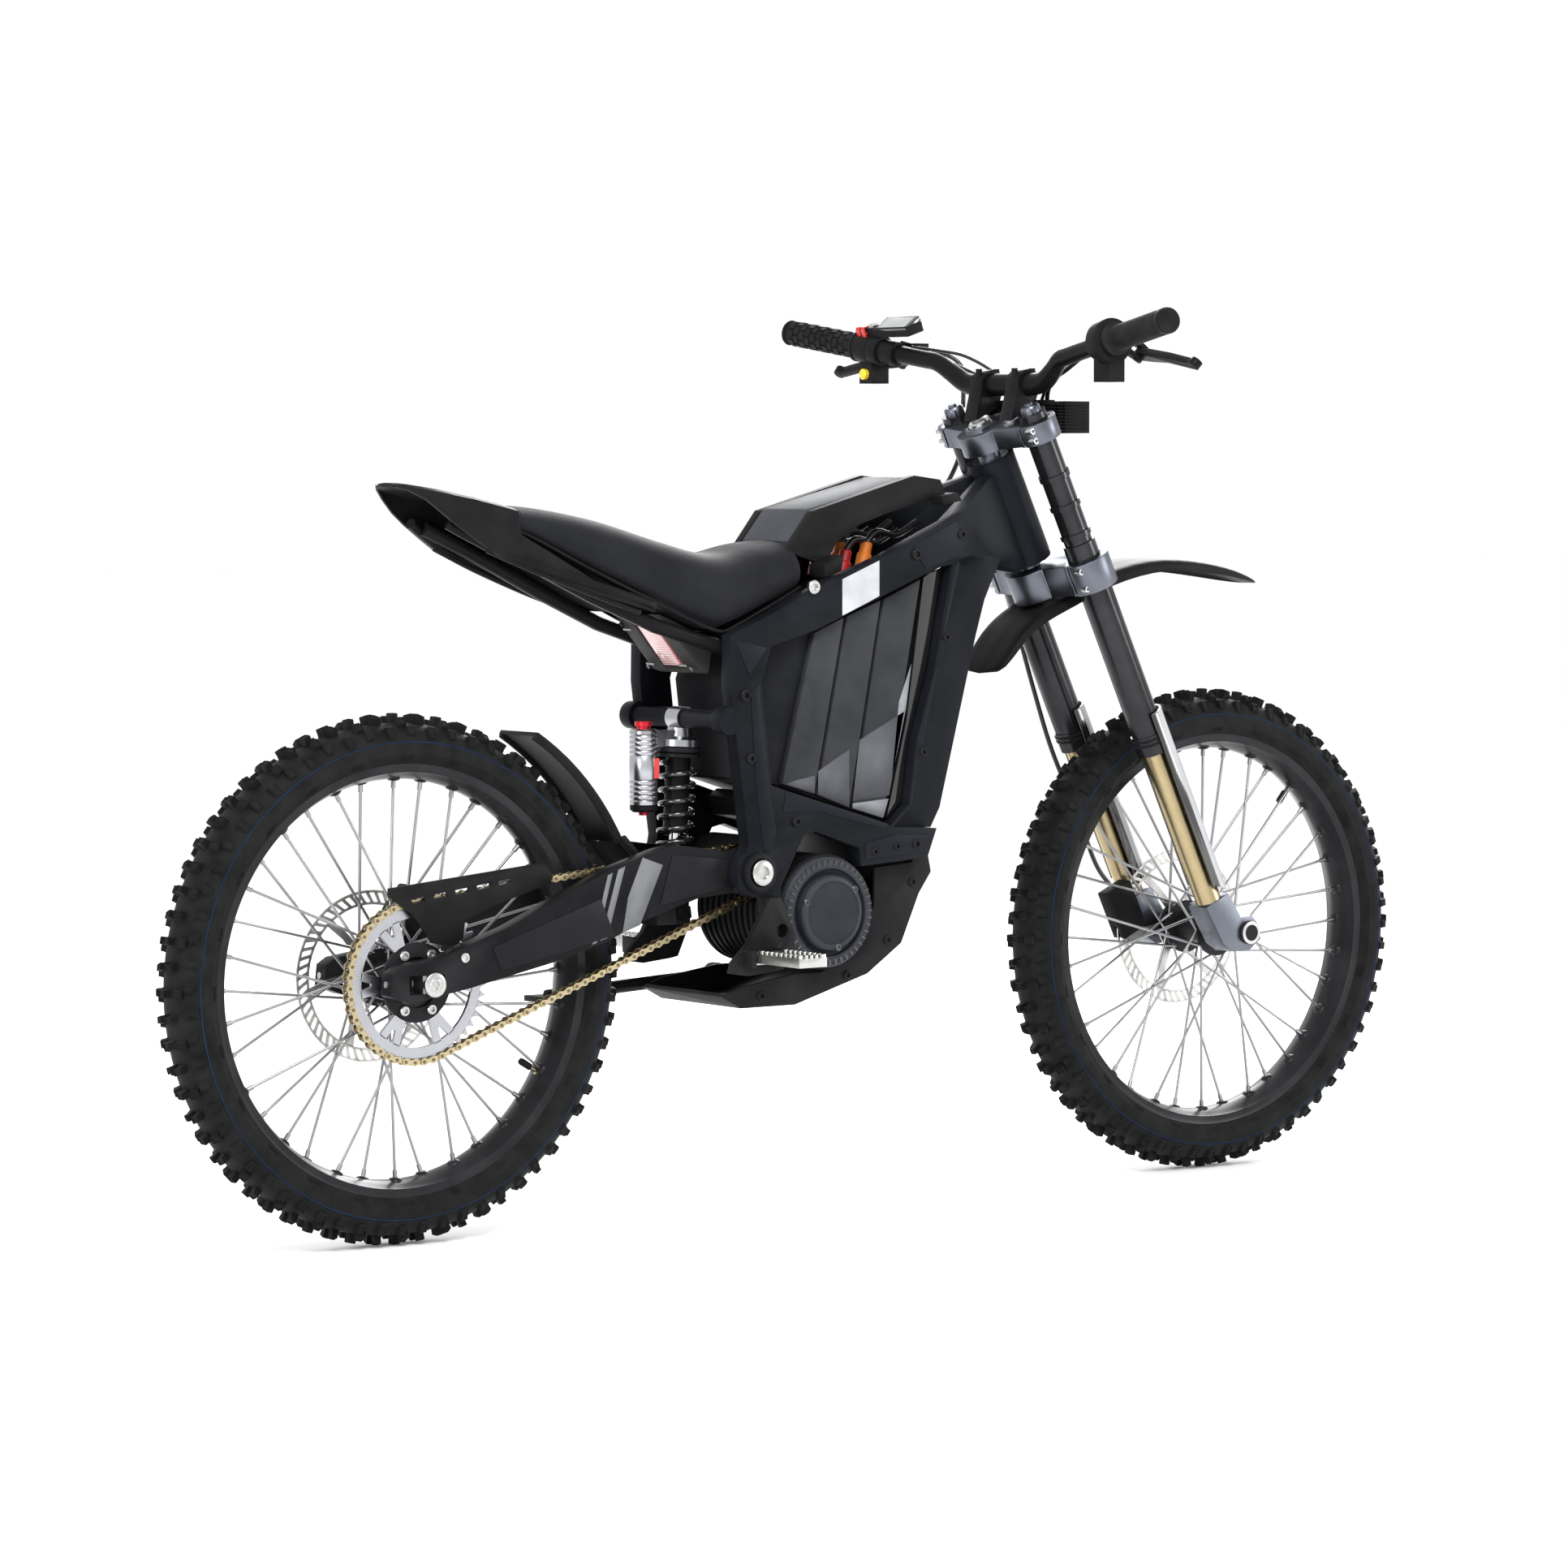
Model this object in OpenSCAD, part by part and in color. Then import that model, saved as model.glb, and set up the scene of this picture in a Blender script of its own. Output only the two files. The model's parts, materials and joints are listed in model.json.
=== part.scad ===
// Electric off-road motorcycle, built as separate pieces that move.
// Millimetres. X forward, Y to the rider's left, Z up. The origin is on the
// ground, midway between the two axles. Outlines are given as [x, z] points
// measured from the point on the ground below the rear axle.

/* [Wheels] */
// Distance between the front and rear axles
wheelbase = 1238.4; // [1234:0.1:1243]
// Outer radius of both tyres
tyre_r = 311.3; // [309:0.1:313]
// Half of the tyre's width
tyre_half_w = 39.2; // [37:0.1:39.5]
// Outer radius of the rim flanges
rim_r = 254.6; // [253:0.1:256]
// Half of the rim's width
rim_half_w = 28; // [26:0.5:30]
// Number of spokes in each wheel
spoke_count = 36; // [32:4:36]
// Radius of both brake rotors
rotor_r = 101.5; // [95:0.5:102]

/* [Steering and fork] */
// Angle of the fork from the vertical
rake = 25.24; // [24.5:0.01:26]
// Distance from the centre plane to each fork leg
fork_half_gap = 77; // [76:0.5:79]
// Distance from the steering axis forward to the fork tubes
clamp_offset = 28; // [26:0.5:30]
// Radius of the upper fork tubes
tube_r = 21; // [20.5:0.1:21.5]
// Radius of the sliding lower legs
leg_r = 16.5; // [16:0.1:17]

/* [Handlebar] */
// Half of the handlebar's width
bar_half_w = 382; // [375:1:385]
// Radius of the grips
grip_r = 16; // [15:0.5:17]
// Radius of the bar in its middle clamp
bar_clamp_r = 14.3; // [14:0.1:14.5]
// Radius of the bar under the grips
bar_end_r = 11.1; // [10.5:0.1:11.5]

/* [Frame and drive] */
// Half of the frame's width over its side plates
frame_half_w = 105; // [104:0.5:106]
// Thickness of each side plate
plate_t = 20; // [18:0.5:20]
// Radius of the motor housing over its fins
motor_r = 70; // [66:0.5:70]
// Teeth of the rear sprocket
rear_teeth = 46; // [44:1:46]
// Teeth of the drive sprocket
drive_teeth = 13; // [12:1:13]

/* [Hidden] */

$fn = 96;
// Radial clearance of a running fit, and of a piece that only sits in its seat
fit = 0.05;

// Centres of the main shafts, [x, z]
rear_axle_at = [0, tyre_r];
front_axle_at = [wheelbase, tyre_r];
pivot_at = [451, 423];
drive_at = [502, 428];
motor_at = [556, 370];
shock_top_at = [411, 606];
shock_low_at = [398, 372];
peg_pin_at = [447, 322];
stand_pin_at = [528, 282];

// Chain line and chain
chain_y = -50;
chain_pitch = 12.7;
rear_pitch_r = chain_pitch / 2 / sin(180 / rear_teeth);
drive_pitch_r = chain_pitch / 2 / sin(180 / drive_teeth);
plate_h = 5;

// Side plates and swingarm arms, distances from the centre plane
plate_in = frame_half_w - plate_t;
arm_in = 62;
arm_out = 84;
pivot_r = 10;
rear_axle_r = 8;
front_axle_r = 7.5;
rotor_y = 50;
front_rotor_y = 47;
rotor_t = 2;

// Fork frame: its own Z runs up the steering axis and its own X forward
steer_x = wheelbase + 83;
axle_fx = -83 * cos(rake) + tyre_r * sin(rake);
axle_fz = 83 * sin(rake) + tyre_r * cos(rake);
low_clamp_z = [826, 866];
top_clamp_z = [1030, 1056];
head_z = [874, 1018];
stem_r = 14;
bearing_r = 24;
tube_low_z = 594;

// Handlebar: centre, end of the straight middle, bend, end of the right half's mirror image
bar_mid = [912, 0, 1012];
bar_knee = [912, 58, 1012];
bar_bend = [899, 128, 1043];
bar_end = [857, bar_half_w, 1084];
bar_len = norm(bar_end - bar_bend);

// ---------- shared shapes ----------

// Moves a piece from the rear-axle numbers to the origin between the axles
module place() translate([-wheelbase / 2, 0, 0]) children();

// Extrudes an [x, z] outline from y_lo to y_hi
module slab(y_lo, y_hi)
    translate([0, y_hi, 0]) rotate([90, 0, 0]) linear_extrude(y_hi - y_lo) children();

// A piece and its mirror image on the other side of the bike
module both_sides() {
    children();
    mirror([0, 1, 0]) children();
}

// Cylinder across the bike, centred on p = [x, z]
module cross_rod(p, y_lo, y_hi, r, sides = 96)
    translate([p[0], y_hi, p[1]]) rotate([90, 0, 0]) cylinder(h = y_hi - y_lo, r = r, $fn = sides);

// Puts children at a, with their Z towards b
module along(a, b) {
    d = b - a;
    translate(a) rotate([0, acos(d[2] / norm(d)), atan2(d[1], d[0])]) children();
}

module rod(a, b, r) along(a, b) cylinder(h = norm(b - a), r = r);

// Wheel frame: children's Z points left along the axle at p = [x, z]
module on_axle(p) translate([p[0], 0, p[1]]) rotate([-90, 0, 0]) children();

module fork_frame() translate([steer_x, 0, 0]) rotate([0, -rake, 0]) children();

module ring(r_in, r_out, z_lo, z_hi) difference() {
    translate([0, 0, z_lo]) cylinder(h = z_hi - z_lo, r = r_out);
    translate([0, 0, z_lo - 1]) cylinder(h = z_hi - z_lo + 2, r = r_in);
}

// Hand-chosen points made into a smooth route with extra points between them
function smooth(p, steps = 3) = [
    for (i = [0 : len(p) - 2]) for (s = [0 : steps - 1])
        let (a = p[max(i - 1, 0)], b = p[i], c = p[i + 1], d = p[min(i + 2, len(p) - 1)],
             t = s / steps)
        0.5 * (2 * b + (c - a) * t + (2 * a - 5 * b + 4 * c - d) * t * t
               + (3 * b - a - 3 * c + d) * t * t * t),
    p[len(p) - 1]];

function unit(v) = v / norm(v);

// Round tube swept along a route as one closed polyhedron
module swept(route, r, sides = 8) {
    n = len(route);
    tangent = [for (i = [0 : n - 1]) unit(route[min(i + 1, n - 1)] - route[max(i - 1, 0)])];
    rings = [for (i = [0 : n - 1])
        let (side = unit(cross(tangent[i], [0.31, 0.27, 0.91])), up = cross(tangent[i], side))
        for (k = [0 : sides - 1])
            route[i] + r * (cos(360 * k / sides) * side + sin(360 * k / sides) * up)];
    walls = [for (i = [0 : n - 2]) for (k = [0 : sides - 1]) for (half = [0, 1])
        let (a = i * sides + k, b = i * sides + (k + 1) % sides)
        half == 0 ? [a, b + sides, b] : [a, a + sides, b + sides]];
    polyhedron(rings, concat([[for (k = [0 : sides - 1]) k]], walls,
        [[for (k = [sides - 1 : -1 : 0]) (n - 1) * sides + k]]), convexity = 6);
}

// ---------- frame ----------

module side_plate_outline() difference() {
    union() {
        polygon([
            [412, 708], [468, 731], [557, 771], [635, 798], [683, 818], [760, 852],
            [775, 800], [757, 795], [719, 662], [694, 560], [684, 497], [655, 470], [722, 466],
            [708, 431], [639, 426], [606, 424], [603, 446], [537, 469], [519, 465], [485, 404],
            [484, 370], [487, 342], [476, 338], [469, 356], [461, 395], [427, 410],
            [437, 459], [432, 496], [424, 548], [417, 601], [411, 648]]);
        translate(pivot_at) circle(r = 30);
        translate(shock_top_at) circle(r = 17);
    }
    polygon([
        [471, 694], [456, 651], [471, 527], [541, 504], [651, 472],
        [679, 497], [691, 576], [719, 664], [745, 789], [725, 786], [604, 739], [537, 712]]);
    translate(pivot_at) circle(r = pivot_r + fit);
}

module down_member_outline() polygon([
    [757, 800], [719, 664], [691, 576], [679, 497], [655, 468], [728, 466], [742, 490],
    [798, 700], [812, 745], [840, 800]]);

module main_frame() color([0.05, 0.06, 0.10]) place() {
    both_sides() {
        slab(plate_in, frame_half_w) side_plate_outline();
        slab(56, plate_in) down_member_outline();
        // Neck from the side plate in to the head tube
        hull() {
            slab(plate_in, frame_half_w) polygon([[735, 840], [760, 852], [772, 800], [745, 791]]);
            fork_frame() translate([-44, 12, head_z[0] + 4]) cube([18, 17, 128]);
        }
        // Boss outside the plate around the swingarm pivot
        difference() {
            cross_rod(pivot_at, frame_half_w, frame_half_w + 6, 24);
            cross_rod(pivot_at, frame_half_w - 1, frame_half_w + 7, pivot_r + fit);
        }
    }
    // Head tube with its bearing seats
    fork_frame() difference() {
        translate([0, 0, head_z[0]]) cylinder(h = head_z[1] - head_z[0], r = 31);
        translate([0, 0, head_z[0] - 1]) cylinder(h = head_z[1] - head_z[0] + 2, r = bearing_r);
    }
    // Cross tubes: shock mount, upper and lower
    cross_rod(shock_top_at, -plate_in, -15.5, 12);
    cross_rod(shock_top_at, 15.5, plate_in, 12);
    cross_rod([437, 700], -plate_in, plate_in, 11);
    cross_rod([688, 452], -plate_in, plate_in, 10);
    slab(-56, 56) polygon([
        [722, 470], [742, 490], [798, 700], [812, 745], [802, 748], [788, 703], [734, 494],
        [718, 480]]);
}

module head_bearings() color("silver") place() fork_frame() {
    ring(stem_r + fit, bearing_r - fit, head_z[0], head_z[0] + 14);
    ring(stem_r + fit, bearing_r - fit, head_z[1] - 14, head_z[1]);
}

module subframe() color([0.08, 0.08, 0.09]) place() both_sides() {
    swept([[430, 70, 690], [331, 60, 720], [243, 52, 758], [138, 46, 808], [70, 40, 836]], 9, 12);
}

module frame_bolts() color("silver") place() {
    cross_rod(pivot_at, -117, 117, pivot_r);
    both_sides() {
        for (p = [[533, 764], [432, 640], [690, 806], [506, 484], [690, 448], [480, 352]])
            cross_rod(p, frame_half_w, frame_half_w + 5, 8);
        cross_rod(pivot_at, frame_half_w + 6, frame_half_w + 14, 17);
    }
}

module skid_plate() color([0.12, 0.12, 0.13]) place() {
    both_sides() slab(80, 84) polygon([
        [722, 465], [726, 429], [730, 411], [711, 385], [694, 347], [684, 325], [632, 290],
        [522, 258], [441, 258], [411, 274], [440, 284], [524, 296], [559, 296], [603, 310],
        [630, 337], [642, 375], [642, 420], [700, 424], [708, 465]]);
    slab(-80, 80) polygon([
        [730, 411], [711, 385], [694, 347], [684, 325], [632, 290], [522, 258], [441, 258],
        [411, 274], [414, 278], [442, 263], [521, 263], [630, 295], [680, 329], [690, 349],
        [707, 388], [725, 413]]);
    // Pin of the side stand
    cross_rod(stand_pin_at, 82, 103.5, 6);
    cross_rod(stand_pin_at, 101, 104, 10);
}

module peg_brackets() color([0.10, 0.10, 0.11]) place() both_sides() difference() {
    union() {
        slab(frame_half_w + 0.5, frame_half_w + 10) polygon([
            [478, 392], [500, 346], [482, 306], [470, 304], [430, 300], [404, 304], [408, 318],
            [430, 338], [440, 356], [462, 392]]);
        // Two ears that hold the peg's pin
        for (x = [-27, 21]) translate([peg_pin_at[0] + x, frame_half_w + 6, peg_pin_at[1] - 10])
            cube([6, 26, 20]);
        translate([peg_pin_at[0] - 27, frame_half_w + 24, peg_pin_at[1]])
            rotate([0, 90, 0]) cylinder(h = 54, r = 4);
    }
    slab(frame_half_w, frame_half_w + 11) translate([480, 352]) circle(r = 8.3);
}

// ---------- battery, covers, seat and tail ----------

module battery_case() color([0.26, 0.27, 0.29]) place() {
    difference() {
        union() {
            slab(-plate_in + 1, plate_in - 1) polygon([
                [476, 690], [461, 650], [476, 530], [655, 474], [717, 664], [744, 790], [600, 752]]);
            // Ribbed side faces that stand out through the frame's opening
            both_sides() slab(plate_in - 2, 95) polygon([
                [537, 703], [497, 524], [651, 478], [676, 499], [688, 577], [711, 778]]);
        }
        both_sides() for (i = [0 : 2]) slab(93, 96) polygon([
            [553 + 44 * i, 706 + 16 * i], [558 + 44 * i, 708 + 16 * i],
            [526 + 36 * i, 516 - 11 * i], [521 + 36 * i, 517 - 11 * i]]);
    }
    // Power plugs on the battery's top, under the cover
    both_sides() for (x = [640, 668]) translate([x, 30, 776]) cube([18, 16, 26 + (x - 640) / 4]);
    slab(-40, 40) polygon([[600, 752], [700, 779], [700, 786], [600, 760]]);
}

module top_cover() color([0.33, 0.34, 0.36]) place() slab(-47.5, 47.5) polygon([
    [536, 818], [568, 857], [600, 865], [722, 896], [758, 893], [757, 884], [722, 886], [602, 856],
    [573, 848], [544, 812]]);

module cover_rails() color([0.07, 0.07, 0.08]) place() {
    both_sides() {
        slab(48, 60) polygon([
            [527, 806], [566, 855], [600, 864], [722, 898], [762, 893], [772, 872], [719, 862],
            [683, 853], [639, 839], [604, 819], [583, 790]]);
        // Feet that carry the rail on the frame spar
        slab(60, plate_in + 6) polygon([[560, 790], [590, 802], [586, 783], [562, 775]]);
        slab(60, plate_in) polygon([[745, 873], [770, 877], [776, 867], [748, 862]]);
    }
    slab(-48, 48) polygon([[527, 806], [536, 817], [543, 811], [534, 801]]);
}

// Plan outline of the seat, used to narrow it towards the tail
module seat_plan() polygon([
    [138, 58], [243, 76], [331, 86], [411, 92], [500, 84], [544, 70],
    [544, -70], [500, -84], [411, -92], [331, -86], [243, -76], [138, -58]]);

module seat() color([0.06, 0.06, 0.06]) place() intersection() {
    slab(-100, 100) polygon([
        [138, 836], [146, 856], [172, 864], [254, 849], [350, 824], [400, 809], [440, 806],
        [497, 818], [523, 821], [526, 800], [522, 780], [470, 735], [411, 712], [331, 742],
        [243, 782]]);
    linear_extrude(1000) seat_plan();
}

// Plan outline of the tail, drawn in by the given amount
module tail_plan(inset) linear_extrude(1000) offset(delta = -inset) polygon([
    [-26, 40], [20, 60], [100, 66], [240, 80], [320, 84],
    [320, -84], [240, -80], [100, -66], [20, -60], [-26, -40]]);

module tail_fender() color([0.09, 0.09, 0.10]) place() difference() {
    intersection() {
        slab(-90, 90) polygon([
            [-26, 887], [31, 891], [100, 873], [137, 862], [136, 832], [240, 778], [318, 741],
            [295, 736], [240, 756], [108, 804], [58, 821], [30, 850], [-20, 878]]);
        tail_plan(0);
    }
    // Open underside, with room for the subframe's tubes
    intersection() {
        slab(-90, 90) polygon([
            [31, 885], [98, 868], [131, 857], [131, 828], [238, 773], [330, 730], [330, 600],
            [31, 600]]);
        tail_plan(4);
    }
}

module tail_light_housing() color([0.08, 0.08, 0.09]) place() difference() {
    slab(-50, 50) polygon([
        [346, 733], [405, 664], [418, 660], [422, 684], [421, 704], [408, 707], [366, 725]]);
    slab(-22, 22) polygon([[358, 746], [415, 672], [404, 660], [343, 738]]);
}

module tail_light_lens() color([0.85, 0.55, 0.55]) place() slab(-21.5, 21.5)
    polygon([[357, 726], [402, 672], [409, 678], [362, 728]]);

// ---------- motor ----------

// Room for the drive sprocket and the chain
module chain_zone() slab(chain_y - 16, chain_y + 14) hull() {
    translate(drive_at) circle(r = 38);
    translate(rear_axle_at) circle(r = rear_pitch_r + 12);
}

module motor_housing() color([0.10, 0.10, 0.11]) place() difference() {
    union() {
        cross_rod(motor_at, -84, 72, motor_r - 6);
        // Cooling fins round the housing
        for (y = [-80 : 12 : 64]) cross_rod(motor_at, y, y + 6, motor_r);
        cross_rod(motor_at, -95, -84, motor_r);
        // Gear case around the drive shaft
        cross_rod(drive_at, chain_y + 14, 60, 33);
        slab(chain_y + 14, 60) polygon([[500, 461], [548, 440], [600, 424], [590, 400], [470, 410]]);
    }
    chain_zone();
    cross_rod(drive_at, chain_y, 12, 8 + fit);
}

module motor_cover() color([0.07, 0.07, 0.08]) place() difference() {
    union() {
        cross_rod(motor_at, -116, -95, 60);
        for (k = [0 : 2]) cross_rod(motor_at + 33 * [cos(120 * k + 40), sin(120 * k + 40)], -117, -110, 4);
    }
    // Dished ring between the rim and the flat centre disc
    difference() {
        cross_rod(motor_at, -117, -110, 54);
        cross_rod(motor_at, -118, -109, 40);
    }
}

module gear_outline(teeth, pitch_r) {
    circle(r = pitch_r - 4);
    for (k = [0 : teeth - 1]) rotate(360 * k / teeth) translate([pitch_r - 6, 0])
        polygon([[0, -3.6], [6, -1.9], [9, -1], [9, 1], [6, 1.9], [0, 3.6]]);
}

module drive_sprocket() color("silver") place() on_axle(drive_at) {
    translate([0, 0, chain_y - 2.3]) linear_extrude(4.6) gear_outline(drive_teeth, drive_pitch_r);
    translate([0, 0, chain_y - 10]) cylinder(h = 60, r = 8);
    translate([0, 0, chain_y - 12]) cylinder(h = 8, r = 13, $fn = 6);
}

// ---------- pegs and stand ----------

// Right foot peg: a toothed frame on a hinge pin
module footpeg() {
    y0 = -frame_half_w - 24;
    difference() {
        union() {
            translate([peg_pin_at[0] - 20.5, y0, peg_pin_at[1]]) rotate([0, 90, 0])
                cylinder(h = 41, r = 8);
            translate([peg_pin_at[0] - 20.5, y0 - 92, peg_pin_at[1] - 5]) cube([41, 92, 11]);
            for (k = [0 : 8], x = [-20, 15])
                translate([peg_pin_at[0] + x, y0 - 90 + 9.5 * k, peg_pin_at[1] + 5]) cube([5, 5, 5]);
            for (k = [0 : 3])
                translate([peg_pin_at[0] - 12 + 7.5 * k, y0 - 92, peg_pin_at[1] + 5]) cube([4, 4, 5]);
        }
        translate([peg_pin_at[0] - 30, y0, peg_pin_at[1]]) rotate([0, 90, 0]) cylinder(h = 60, r = 4 + fit);
        for (k = [0 : 2])
            translate([peg_pin_at[0] - 14, y0 - 84 + 25 * k, peg_pin_at[1] - 6]) cube([28, 19, 13]);
    }
}

module footpeg_right() color("silver") place() footpeg();

module footpeg_left() color("silver") place() mirror([0, 1, 0]) footpeg();

module side_stand() color([0.08, 0.08, 0.09]) place() difference() {
    union() {
        cross_rod(stand_pin_at, 86, 98, 15);
        rod([stand_pin_at[0] - 8, 92, stand_pin_at[1]], [282, 99, 268], 8);
        translate([262, 84, 262]) cube([34, 34, 7]);
    }
    cross_rod(stand_pin_at, 80, 100, 6 + fit);
}

// ---------- rear shock ----------

module in_shock()
    along([shock_low_at[0], 0, shock_low_at[1]], [shock_top_at[0], 0, shock_top_at[1]]) children();
shock_len = norm(shock_top_at - shock_low_at);

module shock_body() color([0.55, 0.56, 0.58]) place() {
    difference() {
        union() {
            in_shock() {
                translate([0, 0, 92]) cylinder(h = shock_len - 96, r = 15);
                translate([0, 0, shock_len - 46]) cylinder(h = 26, r = 26);
            }
            cross_rod(shock_top_at, -13, 13, 14);
            // Bridge to the reservoir beside the body
            slab(-9, 9) polygon([[350, 588], [350, 570], [400, 572], [404, 592]]);
        }
        cross_rod(shock_top_at, -14, 14, 7 + fit);
        in_shock() translate([0, 0, 80]) cylinder(h = 100, r = 7 + fit);
    }
    translate([358, 0, 494]) cylinder(h = 100, r = 20);
    translate([358, 0, 594]) cylinder(h = 9, r = 9);
    cross_rod(shock_top_at, -13.7, 13.7, 7);
}

module shock_shaft() color("silver") place() difference() {
    union() {
        in_shock() {
            cylinder(h = 165, r = 7);
            translate([0, 0, 19]) cylinder(h = 10, r = 24);
        }
        cross_rod(shock_low_at, -13, 13, 15);
    }
    cross_rod(shock_low_at, -14, 14, 7 + 7 * fit);
}

// Coil from the lower seat up to the collar
module shock_spring() color([0.03, 0.03, 0.03]) place() in_shock() {
    turns = 9;
    z0 = 33;
    z1 = shock_len - 50;
    swept([for (i = [0 : turns * 16]) let (a = 360 * i / 16)
        [19.6 * cos(a), 19.6 * sin(a), z0 + (z1 - z0) * i / (turns * 16)]], 3.6, 6);
}

// ---------- swingarm ----------

module arm_outline() difference() {
    union() {
        polygon([
            [-53, 326], [-56, 300], [-30, 290], [53, 304], [170, 328], [245, 348], [293, 369],
            [378, 394], [428, 398], [440, 446], [346, 459], [320, 454], [252, 434], [107, 372],
            [53, 355], [17, 342], [-40, 334]]);
        translate(pivot_at) circle(r = 28);
    }
    translate(pivot_at) circle(r = pivot_r + fit);
    // Slot for the axle and its adjuster block
    translate([-30, tyre_r - 11]) square([48, 22]);
}

module swingarm() color([0.11, 0.11, 0.12]) place() {
    both_sides() {
        difference() {
            slab(arm_in, arm_out - 0.3) arm_outline();
            // Hole for the chain adjuster's screw
            rod([-28, arm_in + 11, tyre_r - 0.15], [-70, arm_in + 11, tyre_r + 3.1], 4 + fit);
        }
        // Ear for the shock's lower pin
        slab(14, 24) difference() {
            polygon([
                [340, 366], [340, 392], [360, 386], [384, 382], [398, 384], [409, 379], [411, 366],
                [398, 358]]);
            translate(shock_low_at) circle(r = 7 + fit);
        }
    }
    slab(-arm_in, arm_in) polygon([[333, 362], [333, 424], [346, 424], [360, 392], [362, 362]]);
    difference() {
        cross_rod(pivot_at, -arm_in, arm_in, 17);
        cross_rod(pivot_at, -arm_in - 1, arm_in + 1, pivot_r + fit);
    }
    both_sides() slab(28, 34) polygon([[344, 424], [356, 380], [440, 410], [440, 430]]);
    // Pin of the shock's lower eye
    cross_rod(shock_low_at, -24, 24, 7);
}

module rear_axle() color("silver") place() {
    cross_rod(rear_axle_at, -93, 93, rear_axle_r);
    both_sides() {
        translate([-12, arm_in, tyre_r - 10.5]) difference() {
            cube([24, arm_out - arm_in - 0.3, 21]);
            translate([12, -1, 10.5]) rotate([-90, 0, 0]) cylinder(h = 30, r = rear_axle_r + fit);
        }
        difference() {
            cross_rod(rear_axle_at, arm_out, arm_out + 7, 14, 6);
            cross_rod(rear_axle_at, arm_out - 1, arm_out + 8, rear_axle_r + fit);
        }
        // Spacer between the hub and the arm
        translate([0, 41.5, tyre_r]) rotate([-90, 0, 0]) ring(rear_axle_r + fit, 13, 0, arm_in - 42);
        rod([-30, arm_in + 11, tyre_r], [-56, arm_in + 11, tyre_r + 2], 4);
    }
}

module chain_guard() color([0.09, 0.09, 0.10]) place() slab(-61.5, -58.5) difference() {
    polygon([
        [-44, 423], [171, 444], [184, 428], [181, 419], [103, 397], [61, 381], [58, 360], [44, 352],
        [15, 357], [-13, 393], [-44, 414]]);
    for (k = [0 : 4]) translate([-12 + 30 * k, 404 + 4 * k]) rotate(8) square([18, 5]);
}

module rear_hugger() color([0.08, 0.08, 0.09]) place() {
    on_axle(rear_axle_at) rotate([0, 0, -58]) rotate_extrude(angle = 31)
        polygon([
            [326, -36], [332, -40], [336, -40], [336, 40], [332, 40], [326, 36], [326, 33],
            [331, 33], [331, -33], [326, -33]]);
    both_sides() slab(36, 39.5) polygon([[291, 466], [303, 470], [346, 424.5], [334, 424.5]]);
}

module chain() color([0.75, 0.60, 0.30]) place() {
    for (y = [-5.6, 3.6]) slab(chain_y + y, chain_y + y + 2) difference() {
        hull() {
            translate(drive_at) circle(r = drive_pitch_r + plate_h);
            translate(rear_axle_at) circle(r = rear_pitch_r + plate_h);
        }
        hull() {
            translate(drive_at) circle(r = drive_pitch_r - plate_h);
            translate(rear_axle_at) circle(r = rear_pitch_r - plate_h);
        }
    }
    // Rollers along the two straight runs
    run = drive_at - rear_axle_at;
    lean = asin((rear_pitch_r - drive_pitch_r) / norm(run));
    for (side = [-1, 1]) {
        normal_at = atan2(run[1], run[0]) + side * (90 - lean);
        n = [cos(normal_at), sin(normal_at)];
        a = rear_axle_at + rear_pitch_r * n;
        b = drive_at + drive_pitch_r * n;
        for (k = [3 : 36]) if (k * chain_pitch < norm(b - a) - 2 * chain_pitch)
            cross_rod(a + unit(b - a) * k * chain_pitch, chain_y - 3.6, chain_y + 3.6, 3.8, 16);
    }
}

module rear_caliper() color([0.10, 0.10, 0.11]) place() difference() {
    translate([62, rotor_y, 386]) rotate([0, -50, 0]) translate([-24, -14, -32]) cube([40, 26, 64]);
    on_axle(rear_axle_at) translate([0, 0, rotor_y - rotor_t / 2 - 1.5])
        cylinder(h = rotor_t + 3, r = rotor_r + 3);
}

// ---------- wheels ----------

module tyre() rotate_extrude() difference() {
    union() {
        translate([tyre_r - tyre_half_w + 2, 0]) circle(r = tyre_half_w);
        translate([tyre_r - 12, -16]) square([12, 32]);
    }
    translate([tyre_r - tyre_half_w + 2, 0]) circle(r = tyre_half_w - 8);
    translate([tyre_r, -40]) square([10, 80]);
    square([2 * (rim_r + 0.2), 200], center = true);
}

module rim() rotate_extrude() polygon([
    [rim_r, rim_half_w], [rim_r, rim_half_w - 3], [rim_r - 8, rim_half_w - 4], [rim_r - 8, 12],
    [rim_r - 14, 8], [rim_r - 14, -8], [rim_r - 8, -12], [rim_r - 8, 4 - rim_half_w],
    [rim_r, 3 - rim_half_w], [rim_r, -rim_half_w], [rim_r - 10, -rim_half_w], [rim_r - 14, -18],
    [rim_r - 20, -8], [rim_r - 20, 8], [rim_r - 14, 18], [rim_r - 10, rim_half_w]]);

// Tangential spokes, alternating from flange to flange
module spokes() for (i = [0 : spoke_count - 1]) {
    side = i % 2 == 0 ? 1 : -1;
    lean = floor(i / 2) % 2 == 0 ? 62 : -62;
    at_rim = 360 * i / spoke_count;
    at_hub = at_rim + lean;
    a = [29 * cos(at_hub), 29 * sin(at_hub), side * 31];
    b = [(rim_r - 17) * cos(at_rim), (rim_r - 17) * sin(at_rim), side * 3];
    rod(a, b, 1.7);
    rod(b - 14 * unit(b - a), b, 2.8);
}

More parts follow.
